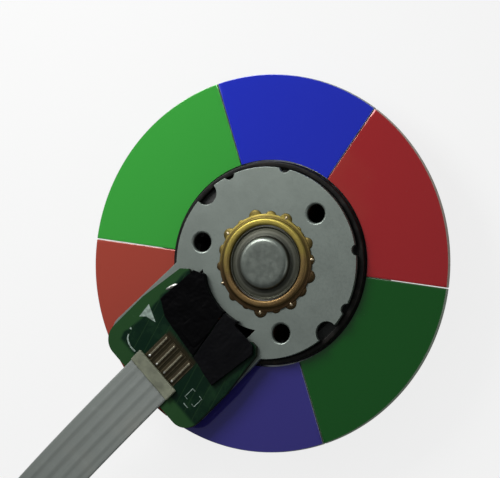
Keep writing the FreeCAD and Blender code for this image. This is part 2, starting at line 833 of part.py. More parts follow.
def make_stator_coils():
    """One winding round each tooth."""
    body = new_body("stator_coils")

    def frame(name, half, base, top):
        return outline_sketch(body, name, (
            (f"-{half}", base),
            (half, base),
            (half, top),
            (f"-{half}", top),
        ), "YZ_Plane", "coil_start")

    def along_tooth(edge):
        return edge.BoundBox.XLength > 1e-3

    pad(body, frame("winding", "coil_outer", "coil_base", "coil_top"), "coil_length")
    rounded(body, along_tooth, "coil_corner")
    hole = frame("winding_hole", "coil_inner", "coil_inner_base", "coil_inner_top")
    patterned(body, pocket(body, hole, "coil_length"), "tooth_count", whole=True)
    turn(body, "-90")
    return body


def make_base_plate():
    """Stamped plate: a disc with a tongue, bored, notched and cut through."""
    body = new_body("base_plate")
    disc = circle_sketch(body, "plate_disc", (("0", "0", "plate_radius"),), offset="plate_level")
    pad(body, disc, "plate_thickness")
    tongue = outline_sketch(body, "plate_tongue", (
        ("-tongue_neck", "-plate_radius / 2"),
        ("-tongue_half", "-tongue_end"),
        ("tongue_half", "-tongue_end"),
        ("tongue_neck", "-plate_radius / 2"),
    ), offset="plate_level")
    pad(body, tongue, "plate_thickness")
    rounded(body, is_upright("tongue_half", "tongue_end"), "tongue_corner")
    bore = circle_sketch(body, "plate_bore", (("0", "0", "spigot_radius"),), offset="plate_level")
    pocket(body, bore, "plate_thickness")
    notches = circle_sketch(body, "plate_notches", [
        (f"{side} * (plate_radius - notch_depth + notch_radius)", "0", "notch_radius")
        for side in (1, -1)
    ], offset="plate_level")
    pocket(body, notches, "plate_thickness")
    reach = "(plate_radius - nick_depth + nick_radius)"
    nicks = circle_sketch(body, "plate_nicks", [
        (f"{side} * {reach} * cos({angle})", f"{reach} * sin({angle})", "nick_radius")
        for side in (1, -1)
        for angle in ("nick_low", "nick_high")
    ], offset="plate_level")
    pocket(body, nicks, "plate_thickness")
    cut_window(body)
    hole = circle_sketch(body, "mounting_hole", (("0", "hole_circle", "hole_radius"),), offset="plate_level")
    patterned(body, pocket(body, hole, "plate_thickness"), "3")
    return body


def cut_window(body):
    """The arc window at the tongue's root, between two radii and two straight sides."""
    sketch = new_sketch(body, "plate_window", "XY_Plane", "plate_level")
    half = value("window_half")
    radii = ("window_inner", "window_outer")
    ends = []
    for radius in radii:
        size = value(radius)
        tilt = math.asin(half / size)
        arc = Part.ArcOfCircle(
            Part.Circle(Vector(0, 0, 0), Vector(0, 0, 1), size),
            -math.pi / 2 - tilt,
            -math.pi / 2 + tilt,
        )
        sketch.addGeometry(arc)
        down = -math.sqrt(size ** 2 - half ** 2)
        ends.append((Vector(-half, down, 0), Vector(half, down, 0)))
    for side in (0, 1):
        sketch.addGeometry(Part.LineSegment(ends[0][side], ends[1][side]))
    for number, radius in enumerate(radii):
        sketch.addConstraint(Sketcher.Constraint("Coincident", number, 3, -1, 1))
        held = sketch.addConstraint(Sketcher.Constraint("Radius", number, value(radius)))
        sketch.setExpression(f"Constraints[{held}]", full(radius))
        sketch.addConstraint(Sketcher.Constraint("Coincident", number, 1, 2, number + 1))
        sketch.addConstraint(Sketcher.Constraint("Coincident", number, 2, 3, number + 1))
        hold(sketch, "DistanceX", number, 1, "-window_half")
        hold(sketch, "DistanceX", number, 2, "window_half")
    pocket(body, sketch, "plate_thickness")


def make_circuit_board():
    body = new_body("circuit_board")
    outline = outline_sketch(body, "board_outline", (
        ("board_cheek - board_neck", "-board_brow"),
        ("-board_neck", "-(board_brow + board_cheek)"),
        ("-board_half", "-board_waist"),
        ("-board_half", "-board_end"),
        ("board_half", "-board_end"),
        ("board_half", "-board_waist"),
        ("board_neck", "-(board_brow + board_cheek)"),
        ("board_neck - board_cheek", "-board_brow"),
    ), offset="plate_top")
    pad(body, outline, "board_thickness")
    rounded(body, is_upright("board_half", "board_end"), "board_corner")
    middle = (("-board_shift", "0", "board_inner"),)
    pocket(body, circle_sketch(body, "board_hollow", middle, offset="plate_top"), "board_thickness")
    bind(body, Placement__Base__x="board_shift")
    return body


def row_places(pitch, shift="0"):
    """The middles of four pieces in a row."""
    return [f"{shift} + {step} * {pitch}" for step in (-1.5, -0.5, 0.5, 1.5)]


def make_solder_pads():
    pads = []
    for number, middle in enumerate(row_places("lead_pitch"), start=1):
        near = "lead_end + lead_pitch / 2 - lead_pad"
        pads.append(block(
            f"lead_pad_{number}",
            middle,
            "lead_pad_width",
            near,
            "lead_pad",
            "board_top",
            "pad_thickness",
        ))
    for number, middle in enumerate(row_places("conductor_pitch", "board_shift"), start=1):
        length = "bar_start - conductor_end"
        pads.append(block(
            f"ribbon_pad_{number}",
            middle,
            "conductor_pad",
            "conductor_end",
            length,
            "board_top",
            "pad_thickness",
        ))
    return together("solder_pads", pads)


def make_ffc_conductors():
    strips = [
        block(
            f"conductor_{number}",
            middle,
            "conductor_width",
            "conductor_end",
            "bar_start - conductor_end",
            "pad_top",
            "conductor_thickness",
        )
        for number, middle in enumerate(row_places("conductor_pitch", "board_shift"), start=1)
    ]
    return together("ffc_conductors", strips)


def make_ffc_stiffener():
    return block(
        "ffc_stiffener",
        "board_shift",
        "2 * bar_half",
        "bar_start",
        "bar_end - bar_start",
        "board_top",
        "bar_height",
    )


def make_lead_cover(label, corners, height):
    """A piece of tape on the board that bridges the window and has a lip on the plate."""
    body = new_body(label)
    outline = outline_sketch(body, label + "_outline", corners, offset="plate_top")
    pad(body, outline, f"board_thickness + {height}")
    inside = circle_sketch(
        body,
        label + "_inside",
        (("0", "0", "cover_root"),),
        offset="plate_top",
    )
    pocket(body, inside, f"board_thickness + {height}")
    under = circle_sketch(
        body,
        label + "_under",
        (("0", "0", "board_end"), ("0", "0", "window_inner")),
        offset="plate_top",
    )
    pocket(body, under, "board_thickness")
    tunnel = outline_sketch(body, label + "_tunnel", (
        ("-tunnel_half", "-window_inner"),
        ("-tunnel_half", "-(lead_end + lead_pitch)"),
        ("tunnel_half", "-(lead_end + lead_pitch)"),
        ("tunnel_half", "-window_inner"),
    ), offset="board_top")
    pocket(body, tunnel, "cover_tunnel")
    return body


def make_lead_covers():
    side = "(window_half + cover_side)"
    edge = "(board_shift + board_neck - cover_inset)"
    inside = "-(cover_root - cover_corner)"
    black = make_lead_cover("lead_cover_black", (
        (f"-{side}", "-(cover_root - cover_corner / 2)"),
        (f"cover_corner - {side}", inside),
        ("seam_root", inside),
        ("seam_end", "-cover_end"),
        (f"cover_cut - {side}", "-(cover_end - cover_slant)"),
        (f"-({side} + cover_flare)", "-(cover_end - cover_cut)"),
    ), "cover_thickness")
    grey = make_lead_cover("lead_cover_grey", (
        ("seam_root", inside),
        (f"{side} - cover_corner - cover_gap", inside),
        (f"{side} - cover_corner - cover_gap", "-cover_root"),
        (f"{edge} - cover_cut / 2", "-board_brow"),
        (edge, "-(board_brow + cover_cut / 2)"),
        (f"{edge} - cover_cut / 2", "-(cover_end + cover_slant)"),
        ("seam_end", "-cover_end"),
    ), "cover_thickness + cover_step")
    return [black, grey]


def swept(name, section, path):
    """A solid along a path, as an object of the document."""
    thing = doc.addObject("Part::Feature", name)
    thing.Label = name
    thing.Shape = Part.Wire(path).makePipeShell([section], True, False)
    return thing


def make_coil_leads():
    """Four wires that rise from a coil through the window and bend down on to their pads."""
    bend = value("lead_bend")
    level = value("lead_level")
    rise = -value("lead_place")
    quarter = bend * (1 - math.sqrt(0.5))
    leads = []
    for number, middle in enumerate(row_places("lead_pitch"), start=1):
        across = value(middle)
        foot = Vector(across, rise, value("coil_top"))
        up = Vector(across, rise, level - bend)
        over = Vector(across, rise - quarter, level - quarter)
        flat = Vector(across, rise - bend, level)
        end = Vector(across, -value("lead_end"), level)
        path = [
            Part.LineSegment(foot, up).toShape(),
            Part.Arc(up, over, flat).toShape(),
            Part.LineSegment(flat, end).toShape(),
        ]
        circle = Part.Circle(foot, Vector(0, 0, 1), value("lead_radius"))
        leads.append(swept(f"coil_lead_{number}", Part.Wire([circle.toShape()]), path))
    return together("coil_leads", leads)


# The ribbon cable: points of its middle line, from the cream bar to its contact end
RIBBON_ROUTE = (
    (0.25, -17.9, 7.5),
    (0.25, -34.9, 7.5),
    (0.25, -55.0, 0.22),
    (0.25, -72.0, 0.22),
)
ARC_SHARE = 0.45


def route_path(points):
    """Straight runs joined by tangent arcs, each as large as its two runs allow."""
    runs = [(after - before).Length for before, after in zip(points, points[1:])]
    edges = []
    start = points[0]
    for number in range(1, len(points) - 1):
        corner = points[number]
        before = (corner - points[number - 1]).normalize()
        after = (points[number + 1] - corner).normalize()
        half_turn = before.getAngle(after) / 2
        tangent = ARC_SHARE * min(runs[number - 1], runs[number])
        radius = tangent / math.tan(half_turn)
        enter = corner - before * tangent
        leave = corner + after * tangent
        inward = (after - before).normalize()
        middle = corner + inward * (radius / math.cos(half_turn) - radius)
        print(f"ribbon arc {number}: radius {radius:.1f} mm")
        edges.append(Part.LineSegment(start, enter).toShape())
        edges.append(Part.Arc(enter, middle, leave).toShape())
        start = leave
    edges.append(Part.LineSegment(start, points[-1]).toShape())
    return edges


def ribbon_points():
    """The ribbon's route, moved with the end of the cream bar."""
    start = Vector(*RIBBON_ROUTE[0])
    moved = Vector(value("board_shift"), -value("bar_end"), value("ribbon_level"))
    return [moved + Vector(*point) - start for point in RIBBON_ROUTE]


def make_ffc_cable():
    path = route_path(ribbon_points())
    half = value("ribbon_width") / 2
    thick = value("ribbon_thickness") / 2
    start = ribbon_points()[0]
    corners = [
        start + Vector(across, 0, up)
        for across, up in ((-half, -thick), (half, -thick), (half, thick), (-half, thick))
    ]
    cable = swept("ffc_cable", Part.makePolygon(corners + corners[:1]), path)
    length = sum(edge.Length for edge in path)
    expected = length * value("ribbon_width * ribbon_thickness")
    print(f"ribbon: length {length:.2f} mm, volume {cable.Shape.Volume:.3f}, expected {expected:.3f} mm3")
    return cable


def make_ribbon_end():
    """The ribbon's far end: a stiff tab with four contacts on it."""
    end = ribbon_points()[-1]
    near = str(-end.y)
    level = f"{end.z} - ribbon_thickness / 2"
    tab = block(
        "ffc_end_stiffener",
        "board_shift",
        "ribbon_width",
        near,
        "end_length",
        level,
        "ribbon_thickness",
    )
    contacts = [
        block(
            f"end_contact_{number}",
            middle,
            "conductor_width",
            f"{near} + end_length - contact_length",
            "contact_length",
            f"{level} + ribbon_thickness",
            "contact_thickness",
        )
        for number, middle in enumerate(row_places("conductor_pitch", "board_shift"), start=1)
    ]
    return [tab, together("ffc_end_contacts", contacts)]


parts = [
    make_hub_carrier(),
    make_balance_putty(),
    make_index_mark(),
    make_adhesive_ring(),
    *make_glass(),
    make_rotor_can(),
    make_magnet_ring(),
    make_shaft(),
    make_retaining_clip(),
    make_thrust_spacer(),
    *make_bearing("lower", "low_bearing"),
    *make_bearing("upper", "high_bearing"),
    make_preload_spring(),
    make_bearing_housing(),
    make_end_cap(),
    *make_stator(),
    make_stator_coils(),
    make_coil_leads(),
    make_base_plate(),
    make_circuit_board(),
    make_solder_pads(),
    *make_lead_covers(),
    make_ffc_conductors(),
    make_ffc_stiffener(),
    make_ffc_cable(),
    *make_ribbon_end(),
]
doc.recompute()

for thing in doc.Objects:
    if "Invalid" in thing.State or "Error" in thing.State:
        raise ValueError(f"{thing.Label} failed: {thing.State}")
for part in parts:
    if part.Shape.isNull() or not part.Shape.isValid() or not part.Shape.Solids:
        raise ValueError(f"{part.Label} has no sound shape")

os.makedirs("parts", exist_ok=True)
for part in parts:
    part.Shape.exportStep(f"parts/{part.Label}.step")
print(f"{len(parts)} parts")
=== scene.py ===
import json
import math

import bmesh
import bpy
from bpy.props import FloatProperty, FloatVectorProperty, IntProperty, PointerProperty
from bpy.types import Operator, Panel, PropertyGroup
from mathutils import Matrix, Vector, noise


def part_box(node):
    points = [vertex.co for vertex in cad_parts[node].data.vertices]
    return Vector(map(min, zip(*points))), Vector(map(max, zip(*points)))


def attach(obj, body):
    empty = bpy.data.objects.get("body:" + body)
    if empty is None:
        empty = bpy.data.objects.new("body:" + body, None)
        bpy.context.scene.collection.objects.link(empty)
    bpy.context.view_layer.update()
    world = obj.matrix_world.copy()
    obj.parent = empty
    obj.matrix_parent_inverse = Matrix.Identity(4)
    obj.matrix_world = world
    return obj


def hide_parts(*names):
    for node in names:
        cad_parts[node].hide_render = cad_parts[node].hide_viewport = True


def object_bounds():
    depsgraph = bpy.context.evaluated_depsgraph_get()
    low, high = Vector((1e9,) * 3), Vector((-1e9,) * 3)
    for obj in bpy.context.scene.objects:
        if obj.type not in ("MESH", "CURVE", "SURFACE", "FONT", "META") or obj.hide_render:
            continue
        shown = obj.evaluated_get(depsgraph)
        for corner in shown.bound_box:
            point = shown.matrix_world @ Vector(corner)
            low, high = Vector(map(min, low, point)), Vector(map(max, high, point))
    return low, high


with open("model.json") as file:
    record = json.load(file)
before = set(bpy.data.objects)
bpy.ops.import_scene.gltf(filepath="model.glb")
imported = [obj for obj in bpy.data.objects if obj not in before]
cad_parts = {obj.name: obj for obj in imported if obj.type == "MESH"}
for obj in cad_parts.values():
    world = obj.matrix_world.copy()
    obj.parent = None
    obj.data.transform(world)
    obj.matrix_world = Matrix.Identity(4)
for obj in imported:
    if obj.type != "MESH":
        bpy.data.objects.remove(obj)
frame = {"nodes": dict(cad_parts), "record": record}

# A small motor with a ring of six coloured glass segments, a stamped plate, a board and a ribbon.
# Metres. +Z is the spin axis and points to the plate's side. The board and the ribbon are at -Y.

bl_info = {
    "name": "Color wheel",
    "version": (1, 0, 0),
    "blender": (4, 5, 0),
    "location": "View3D > Sidebar > Color wheel",
    "description": "Dresses a color wheel: glass, motor, board, tapes and ribbon cable",
    "category": "Object",
}

CAD_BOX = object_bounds()
MM = 0.001
COLOURS = ("red", "blue", "green")
CREASE = 32  # an edge with a larger angle in degrees is a crease
BROKEN_EDGE = 0.05 * MM  # rounding that takes the sharpness off an edge
ROUND_STEPS = 256  # faces round a turned piece
# Points that control the ribbon's curve, from the cream bar to its contact end
RIBBON_ROUTE = (
    (0.00025, -0.0179, 0.0075),
    (0.00025, -0.0349, 0.0075),
    (0.00025, -0.0550, 0.00022),
    (0.00025, -0.0720, 0.00022),
)


# Properties that a user would change

def length(name, note, millimetres):
    return FloatProperty(
        name=name, description=note, default=millimetres * MM, subtype="DISTANCE", unit="LENGTH")


def angle(name, note, degrees):
    return FloatProperty(
        name=name, description=note, default=math.radians(degrees), subtype="ANGLE",
        unit="ROTATION")


def number(name, note, count):
    return IntProperty(name=name, description=note, default=count, min=1)


def amount(name, note, default):
    return FloatProperty(name=name, description=note, default=default, min=0)


def linear(channel):
    """A screen value from 0 to 255 as linear light."""
    share = channel / 255
    return share / 12.92 if share <= 0.04045 else ((share + 0.055) / 1.055) ** 2.4


def screen(*channels):
    """A colour from its three screen values."""
    return [linear(channel) for channel in channels]


def colour(name, note, *channels):
    return FloatVectorProperty(
        name=name, description=note, default=screen(*channels), size=3, min=0, max=1,
        subtype="COLOR")


class ColorwheelStudio(PropertyGroup):
    azimuth: angle("Azimuth", "Where the camera stands round the spin axis", 43.1)
    elevation: angle("Elevation", "How high the camera looks down from", 68.7)
    roll: angle("Roll", "How far the camera is rolled", 4.0)
    distance: length("Distance", "Camera to the wheel", 800)
    view_width: length("View width", "Width of the view at the wheel", 52.88)
    right_of_middle: length(
        "Right of middle", "How far the wheel's middle is right of the view's", 2.27)
    below_middle: length(
        "Below middle", "How far the wheel's middle is below the view's", 2.57)
    key_power: amount("Key light", "Power of the soft light above the picture in watts", 0.056)
    fill_power: amount("Fill light", "Power of the weak light on the right in watts", 0.3)
    side_power: amount("Side light", "Power of the soft light on the left in watts", 0.3)
    surroundings: colour("Surroundings", "Colour of the room", 160, 164, 166)
    floor: colour("Floor", "Colour of the floor", 214, 214, 212)


class ColorwheelGlass(PropertyGroup):
    first_seam: angle("First seam", "Where the first red segment starts", 39.35)
    red_angle: angle("Red", "Size of a red segment", 62)
    blue_angle: angle("Blue", "Size of a blue segment", 53.5)
    seam_gap: length("Seam", "Gap between two segments at the rim", 0.1)
    disc_radius: length("Radius", "Outer radius of the glass", 20)
    bore: length("Bore", "Inner radius of the glass", 10.95)
    edge: length("Ground edge", "Chamfer of the glass's edges", 0.07)
    # Each turned colour stands for painted light and shade: the coat drifts to it on one side of
    # the wheel.
    red: colour("Red", "Colour of the red coating", 172, 34, 38)
    red_turn: colour("Red turned", "Colour that the red coating drifts to", 174, 68, 52)
    blue: colour("Blue", "Colour of the blue coating", 26, 44, 196)
    blue_turn: colour("Blue turned", "Colour that the blue coating drifts to", 58, 52, 138)
    green: colour("Green", "Colour of the green coating", 58, 170, 60)
    green_turn: colour("Green turned", "Colour that the green coating drifts to", 2, 86, 16)


class ColorwheelMotor(PropertyGroup):
    can_radius: length("Can radius", "Outer radius of the rotor can", 10.75)
    can_wall: length("Can wall", "Wall of the rotor can", 0.6)
    shaft_radius: length("Shaft radius", "Radius of the shaft", 1.5)
    can_floor: length("Can floor", "Thickness of the can's closed end", 0.8)
    punched_edge: length("Punched edge", "Rounding of the upper edge of the plate's holes", 0.22)
    hole_width: length(
        "Hole width", "Openings of the plate narrower than this have the punched edge", 2.6)
    bush_bore: length("Bush bore", "Inner radius of the brass bush", 4.0)
    bush_wall: length("Bush wall", "Wall of the brass bush", 0.8)
    rim_wall: length("Rim wall", "Wall of the bush's upstanding rim", 0.5)
    step_lip: length("Step", "How far the step between the bearings stands in", 0.6)
    shoulder_radius: length("Shoulder", "Radius of the bush between the stator and the plate", 5.2)
    flange_radius: length("Flange", "Radius of the bush's flange under the plate", 6.0)
    flange_thickness: length("Flange thickness", "Thickness of the flange under the plate", 0.5)
    neck_radius: length("Neck", "Radius of the bush where it passes the plate", 4.9)
    collar_radius: length("Collar", "Radius of the staked collar", 5.2)
    nib_count: number("Nibs", "Large nibs of the staked collar", 9)
    nib_turn: angle("First nib", "Where the first large nib is", 30.7)
    nib_reach: length("Nib reach", "How far a large nib reaches past the collar", 0.56)
    boss_radius: length("Boss", "Radius of the steel cap's boss", 2.7)
    boss_flat: length("Boss flat", "Radius of the flat on the cap's boss", 1.7)
    cap_sheet: length("Cap sheet", "Thickness of the cap's sheet", 0.3)
    lip_radius: length("Cap lip", "Inner radius of the raised lip round the cap", 3.8)
    tooth_count: number("Teeth", "Teeth of the stator", 9)
    coil_start: length("Coil start", "Spin axis to the near end of a coil", 6.11)
    coil_half: length("Coil half width", "Half width of a coil across its tooth", 1.4)
    coil_corner: length("Coil corner", "Rounding of a coil's corners", 0.42)
    coil_turns: number("Turns", "Turns in one layer of a coil", 11)
    wire: length("Wire", "Radius of the coils' wire", 0.075)


class ColorwheelBoard(PropertyGroup):
    conductor_count: number("Conductors", "Conductors of the ribbon cable", 4)
    conductor_pitch: length("Pitch", "Spacing of the ribbon's conductors", 1.25)
    conductor_width: length("Conductor", "Width of a conductor", 0.7)
    tape_wave: length("Tape wave", "Depth of the tape's unevenness", 0.16)
    ribbon_width: length("Ribbon width", "Width of the ribbon cable", 5.8)
    ribbon_thickness: length("Ribbon thickness", "Thickness of the ribbon cable", 0.3)
    # The colour over copper also paints the shade on the board's right margin.
    mask_green: colour("Board", "Colour of the board over copper", 8, 34, 21)
    bare_green: colour("Board edge", "Colour of the board where no copper is under it", 38, 72, 38)
    tape: colour("Black tape", "Colour of the black tape", 2, 2, 3)
    grey_tape: colour("Grey tape", "Colour of the dark grey tape", 13, 13, 15)
    bar: colour("Bar", "Colour of the bar on the ribbon's end", 124, 127, 107)
    ribbon: colour("Ribbon", "Colour of the ribbon cable", 136, 141, 136)


# Node trees: Python's operators on sockets

class Wire:
    """A node's output, on which Python's operators add Math nodes."""

    def __init__(self, recipe, socket):
        self.recipe = recipe
        self.socket = socket

    def __add__(self, other):
        return self.recipe.maths("ADD", self, other)

    def __sub__(self, other):
        return self.recipe.maths("SUBTRACT", self, other)

    def __rsub__(self, other):
        return self.recipe.maths("SUBTRACT", other, self)

    def __mul__(self, other):
        return self.recipe.maths("MULTIPLY", self, other)

    def __truediv__(self, other):
        return self.recipe.maths("DIVIDE", self, other)

    def __rtruediv__(self, other):
        return self.recipe.maths("DIVIDE", other, self)

    def __pow__(self, other):
        return self.recipe.maths("POWER", self, other)

    __radd__ = __add__
    __rmul__ = __mul__


class Recipe:
    """A node tree in the making."""

    def __init__(self, tree):
        self.tree = tree

    def node(self, kind, settings=None, sockets=None, output=0):
        """Adds a node: its settings first, then a value or a link for each socket."""
        made = self.tree.nodes.new(kind)
        for name, content in (settings or {}).items():
            if name == "stops":
                fill_ramp(made.color_ramp, content)
            else:
                setattr(made, name, content)
        for name, content in (sockets or {}).items():
            if isinstance(content, Wire):
                self.tree.links.new(content.socket, made.inputs[name])
            else:
                made.inputs[name].default_value = content
        return Wire(self, made.outputs[output]) if made.outputs else made

    def maths(self, operation, *terms):
        return self.node("ShaderNodeMath", {"operation": operation}, dict(enumerate(terms)))

    def ramp(self, value, low, high, start=0.0, end=1.0):
        """A value that goes smoothly from start to end as the given one goes from low to high."""
        return self.node(
            "ShaderNodeMapRange",
            {"interpolation_type": "SMOOTHSTEP"},
            {"Value": value, "From Min": low, "From Max": high, "To Min": start, "To Max": end},
        )

    def mix(self, first, second, factor):
        colours = {
            name: shade if isinstance(shade, Wire) else (*shade, 1)
            for name, shade in ((6, first), (7, second))
        }
        return self.node(
            "ShaderNodeMix", {"data_type": "RGBA"}, {0: factor, **colours}, output=2)

    def over(self, tone, shade, value, low, high, most=1.0):
        """The tone, with up to the given share of a shade as a value goes from low to high."""
        return self.mix(tone, shade, self.ramp(value, low, high, 0.0, most))


def fill_ramp(ramp, stops):
    while len(ramp.elements) < len(stops):
        ramp.elements.new(0.5)
    for element, (position, shade) in zip(ramp.elements, stops):
        element.position = position
        element.color = (*shade, 1)


# Materials

class Finish(Recipe):
    """A material's recipe, with the patterns that finishes share. Patterns are in millimetres."""

    def __init__(self, name):
        self.material = bpy.data.materials.new(name)
        self.material.use_nodes = True
        super().__init__(self.material.node_tree)
        self.tree.nodes.clear()
        self.place = self.node("ShaderNodeVectorMath", {"operation": "SCALE"}, {
            0: self.node("ShaderNodeTexCoord", output="Object"), "Scale": 1 / MM})

    def noise(self, scale, detail=2.0, place=None):
        return self.node("ShaderNodeTexNoise", None, {
            "Vector": place or self.place, "Scale": scale, "Detail": detail})

    def stretched(self, along, across, up=1.0, turn=0.0):
        """The place, stretched along one direction for grain and scratches."""
        return self.node("ShaderNodeMapping", None, {
            "Vector": self.place, "Rotation": (0, 0, turn), "Scale": (along, across, up)})

    def axes(self):
        """The place's three coordinates."""
        split = self.node("ShaderNodeSeparateXYZ", None, {"Vector": self.place}).socket.node
        return [Wire(self, socket) for socket in split.outputs]

    def reach(self):
        """Distance from the spin axis."""
        across, along, _ = self.axes()
        return (across * across + along * along) ** 0.5

    def facing_up(self, low=0.45, high=0.75):
        """1 on level faces, 0 on upright ones."""
        normal = self.node("ShaderNodeNewGeometry", output="True Normal")
        up = self.node("ShaderNodeSeparateXYZ", None, {"Vector": normal}, output="Z")
        return self.ramp(self.maths("ABSOLUTE", up), low, high)

    def bump(self, height, depth, strength):
        """A normal from a height pattern; depth is in millimetres."""
        return self.node("ShaderNodeBump", None, {
            "Height": height, "Distance": depth * MM, "Strength": strength})

    def done(self, base, roughness, metallic=0.0, normal=None, **constants):
        """The surface, with constants by the names of the shader's own sockets."""
        sockets = {"Base Color": base, "Roughness": roughness, "Metallic": metallic}
        if normal:
            sockets["Normal"] = normal
        for name, content in constants.items():
            sockets[name.replace("_", " ")] = content
        shader = self.node("ShaderNodeBsdfPrincipled", None, sockets)
        self.node("ShaderNodeOutputMaterial", None, {"Surface": shader})
        return self.material


def shaded(shade, factor):
    """A colour made darker or lighter by a factor."""
    return [min(1.0, channel * factor) for channel in shade]


def glass_finish(name, coat, light_shifted_coat, direction):
    """Coated glass: a mirror-like face whose hue drifts across the wheel as painted light and shade
    toward one side and at random in patches, and pale ground edges.
    """
    finish = Finish(name)
    across, along, _ = finish.axes()
    reach = finish.reach()
    # Painted light and shade: the slope turns the coat toward its second colour on one side of the
    # wheel, and the noise adds random patches.
    slope = across * math.cos(direction) + along * math.sin(direction)
    drift = slope / 12 + finish.noise(0.1, 2.0) * 2.4 - 1.2
    smear = finish.noise(0.5, 2.0, finish.stretched(1.0, 0.5, 1.0, 0.6))
    dust = finish.noise(7.0, 2.0)
    tone = finish.over(coat, light_shifted_coat, drift, -0.6, 0.6)
    tone = finish.over(tone, (0.4, 0.42, 0.42), dust, 0.76, 0.8, 0.25)
    ground = finish.mix(light_shifted_coat, (0.5, 0.55, 0.46), finish.ramp(reach, 11.1, 11.8, 0.1, 0.7))
    face = finish.facing_up(0.86, 0.95)
    tone = finish.mix(ground, tone, face)
    rough = finish.ramp(smear, 0.3, 0.8, 0.06, 0.13) + (1 - face) * 0.35
    return finish.done(
        tone, rough, 0.12, finish.bump(dust * 0.3 + smear, 0.003, 0.3),
        IOR=1.45, Transmission_Weight=0.06, Coat_Weight=0.3, Coat_Roughness=0.04)


def plate_finish(name, base, roughness=0.4):
    """Satin rolled and plated sheet steel with faint stains and fine scratches."""
    finish = Finish(name)
    cloud = finish.noise(0.35, 3.0)
    mottle = finish.noise(3.0, 4.0)
    speck = finish.noise(14.0, 2.0)
    scratch = finish.noise(2.6, 2.0, finish.stretched(0.12, 5.0, 1.0, -0.9))
    tone = finish.over(shaded(base, 0.93), shaded(base, 1.05), cloud, 0.3, 0.7)
    tone = finish.over(tone, shaded(base, 0.8), mottle, 0.5, 0.75, 0.5)
    tone = finish.over(tone, shaded(base, 1.3), scratch, 0.74, 0.78, 0.3)
    tone = finish.over(tone, shaded(base, 0.55), speck, 0.7, 0.8, 0.3)
    rough = finish.ramp(mottle, 0.3, 0.75, roughness - 0.03, roughness + 0.07)
    height = mottle * 0.5 + speck * 0.3 - scratch * 0.2
    return finish.done(tone, rough, 0.75, finish.bump(height, 0.006, 0.4))


def turned_finish(name, base, tint, roughness, pitch=0.11, stain=0.5):
    """Metal turned on a lathe: fine rings about the spin axis, and tarnish in patches."""
    finish = Finish(name)
    _, _, level = finish.axes()
    reach = finish.reach()
    feed = finish.maths("SINE", (reach + level) * (2 * math.pi / pitch))
    across_rings = finish.node("ShaderNodeCombineXYZ", None, {"X": reach, "Z": level})
    rings = finish.noise(0.4 / pitch, 2.0, across_rings)
    uneven = finish.noise(1.3, 3.0)
    patch = finish.noise(0.55, 3.0)
    speck = finish.noise(11.0, 2.0)
    tone = finish.over(base, tint, patch, 0.42, 0.66, stain)
    tone = finish.over(tone, shaded(tint, 0.75), rings, 0.45, 0.7, 0.45)
    tone = finish.over(tone, shaded(tint, 0.5), speck, 0.62, 0.8, 0.4 * stain)
    tone = finish.over(tone, shaded(base, 1.35), feed, 0.4, 1.0, 0.18)
    rough = finish.ramp(uneven, 0.3, 0.75, roughness, roughness + 0.14) + feed * 0.02
    height = feed * 0.35 + rings * 0.5 + uneven * 0.6
    return finish.done(tone, rough, 1.0, finish.bump(height, 0.006, 0.6))


def brass_finish(name, base, tint):
    """Struck and turned brass: yellow on its crown, tarnished on its collar and in patches, and
    darker toward one side as painted shade.
    """
    finish = Finish(name)
    across, along, level = finish.axes()
    reach = finish.reach()
    feed = finish.maths("SINE", reach * (2 * math.pi / 0.12))
    patch = finish.noise(0.9, 3.0)
    speck = finish.noise(10.0, 3.0)
    # Tarnish in patches, with painted shade that grows darker and browner toward one side of the
    # wheel.
    tarnish = finish.ramp(across * 0.78 - along * 0.62 + patch * 5 - 2.5, -4.6, 1.8)
    collar = finish.ramp(reach, 4.75, 5.0)
    # Painted shade: a dark line in the corner where the rim rises from the collar.
    rim_foot_shade = finish.ramp(finish.maths("ABSOLUTE", reach - 4.86), 0.06, 0.2, 1.0, 0.0)
    tone = finish.mix(base, tint, tarnish)
    tone = finish.mix(
        tone, (0.05, 0.028, 0.014), collar * finish.ramp(tarnish, 0.2, 1.0, 0.45, 0.7))
    tone = finish.over(tone, (0.05, 0.036, 0.014), reach, 5.15, 5.45, 0.65)
    tone = finish.mix(tone, (0.035, 0.02, 0.008), rim_foot_shade * 0.75)
    tone = finish.over(tone, shaded(tint, 0.45), speck, 0.55, 0.75, 0.45)
    tone = finish.mix(
        tone, shaded(base, 1.3), finish.ramp(feed, 0.4, 1.0, 0.0, 0.12) * (1 - collar))
    rough = finish.ramp(patch, 0.3, 0.75, 0.36, 0.5) + collar * 0.04
    return finish.done(tone, rough, 0.9, finish.bump(feed * 0.2 + speck + patch, 0.012, 0.5))


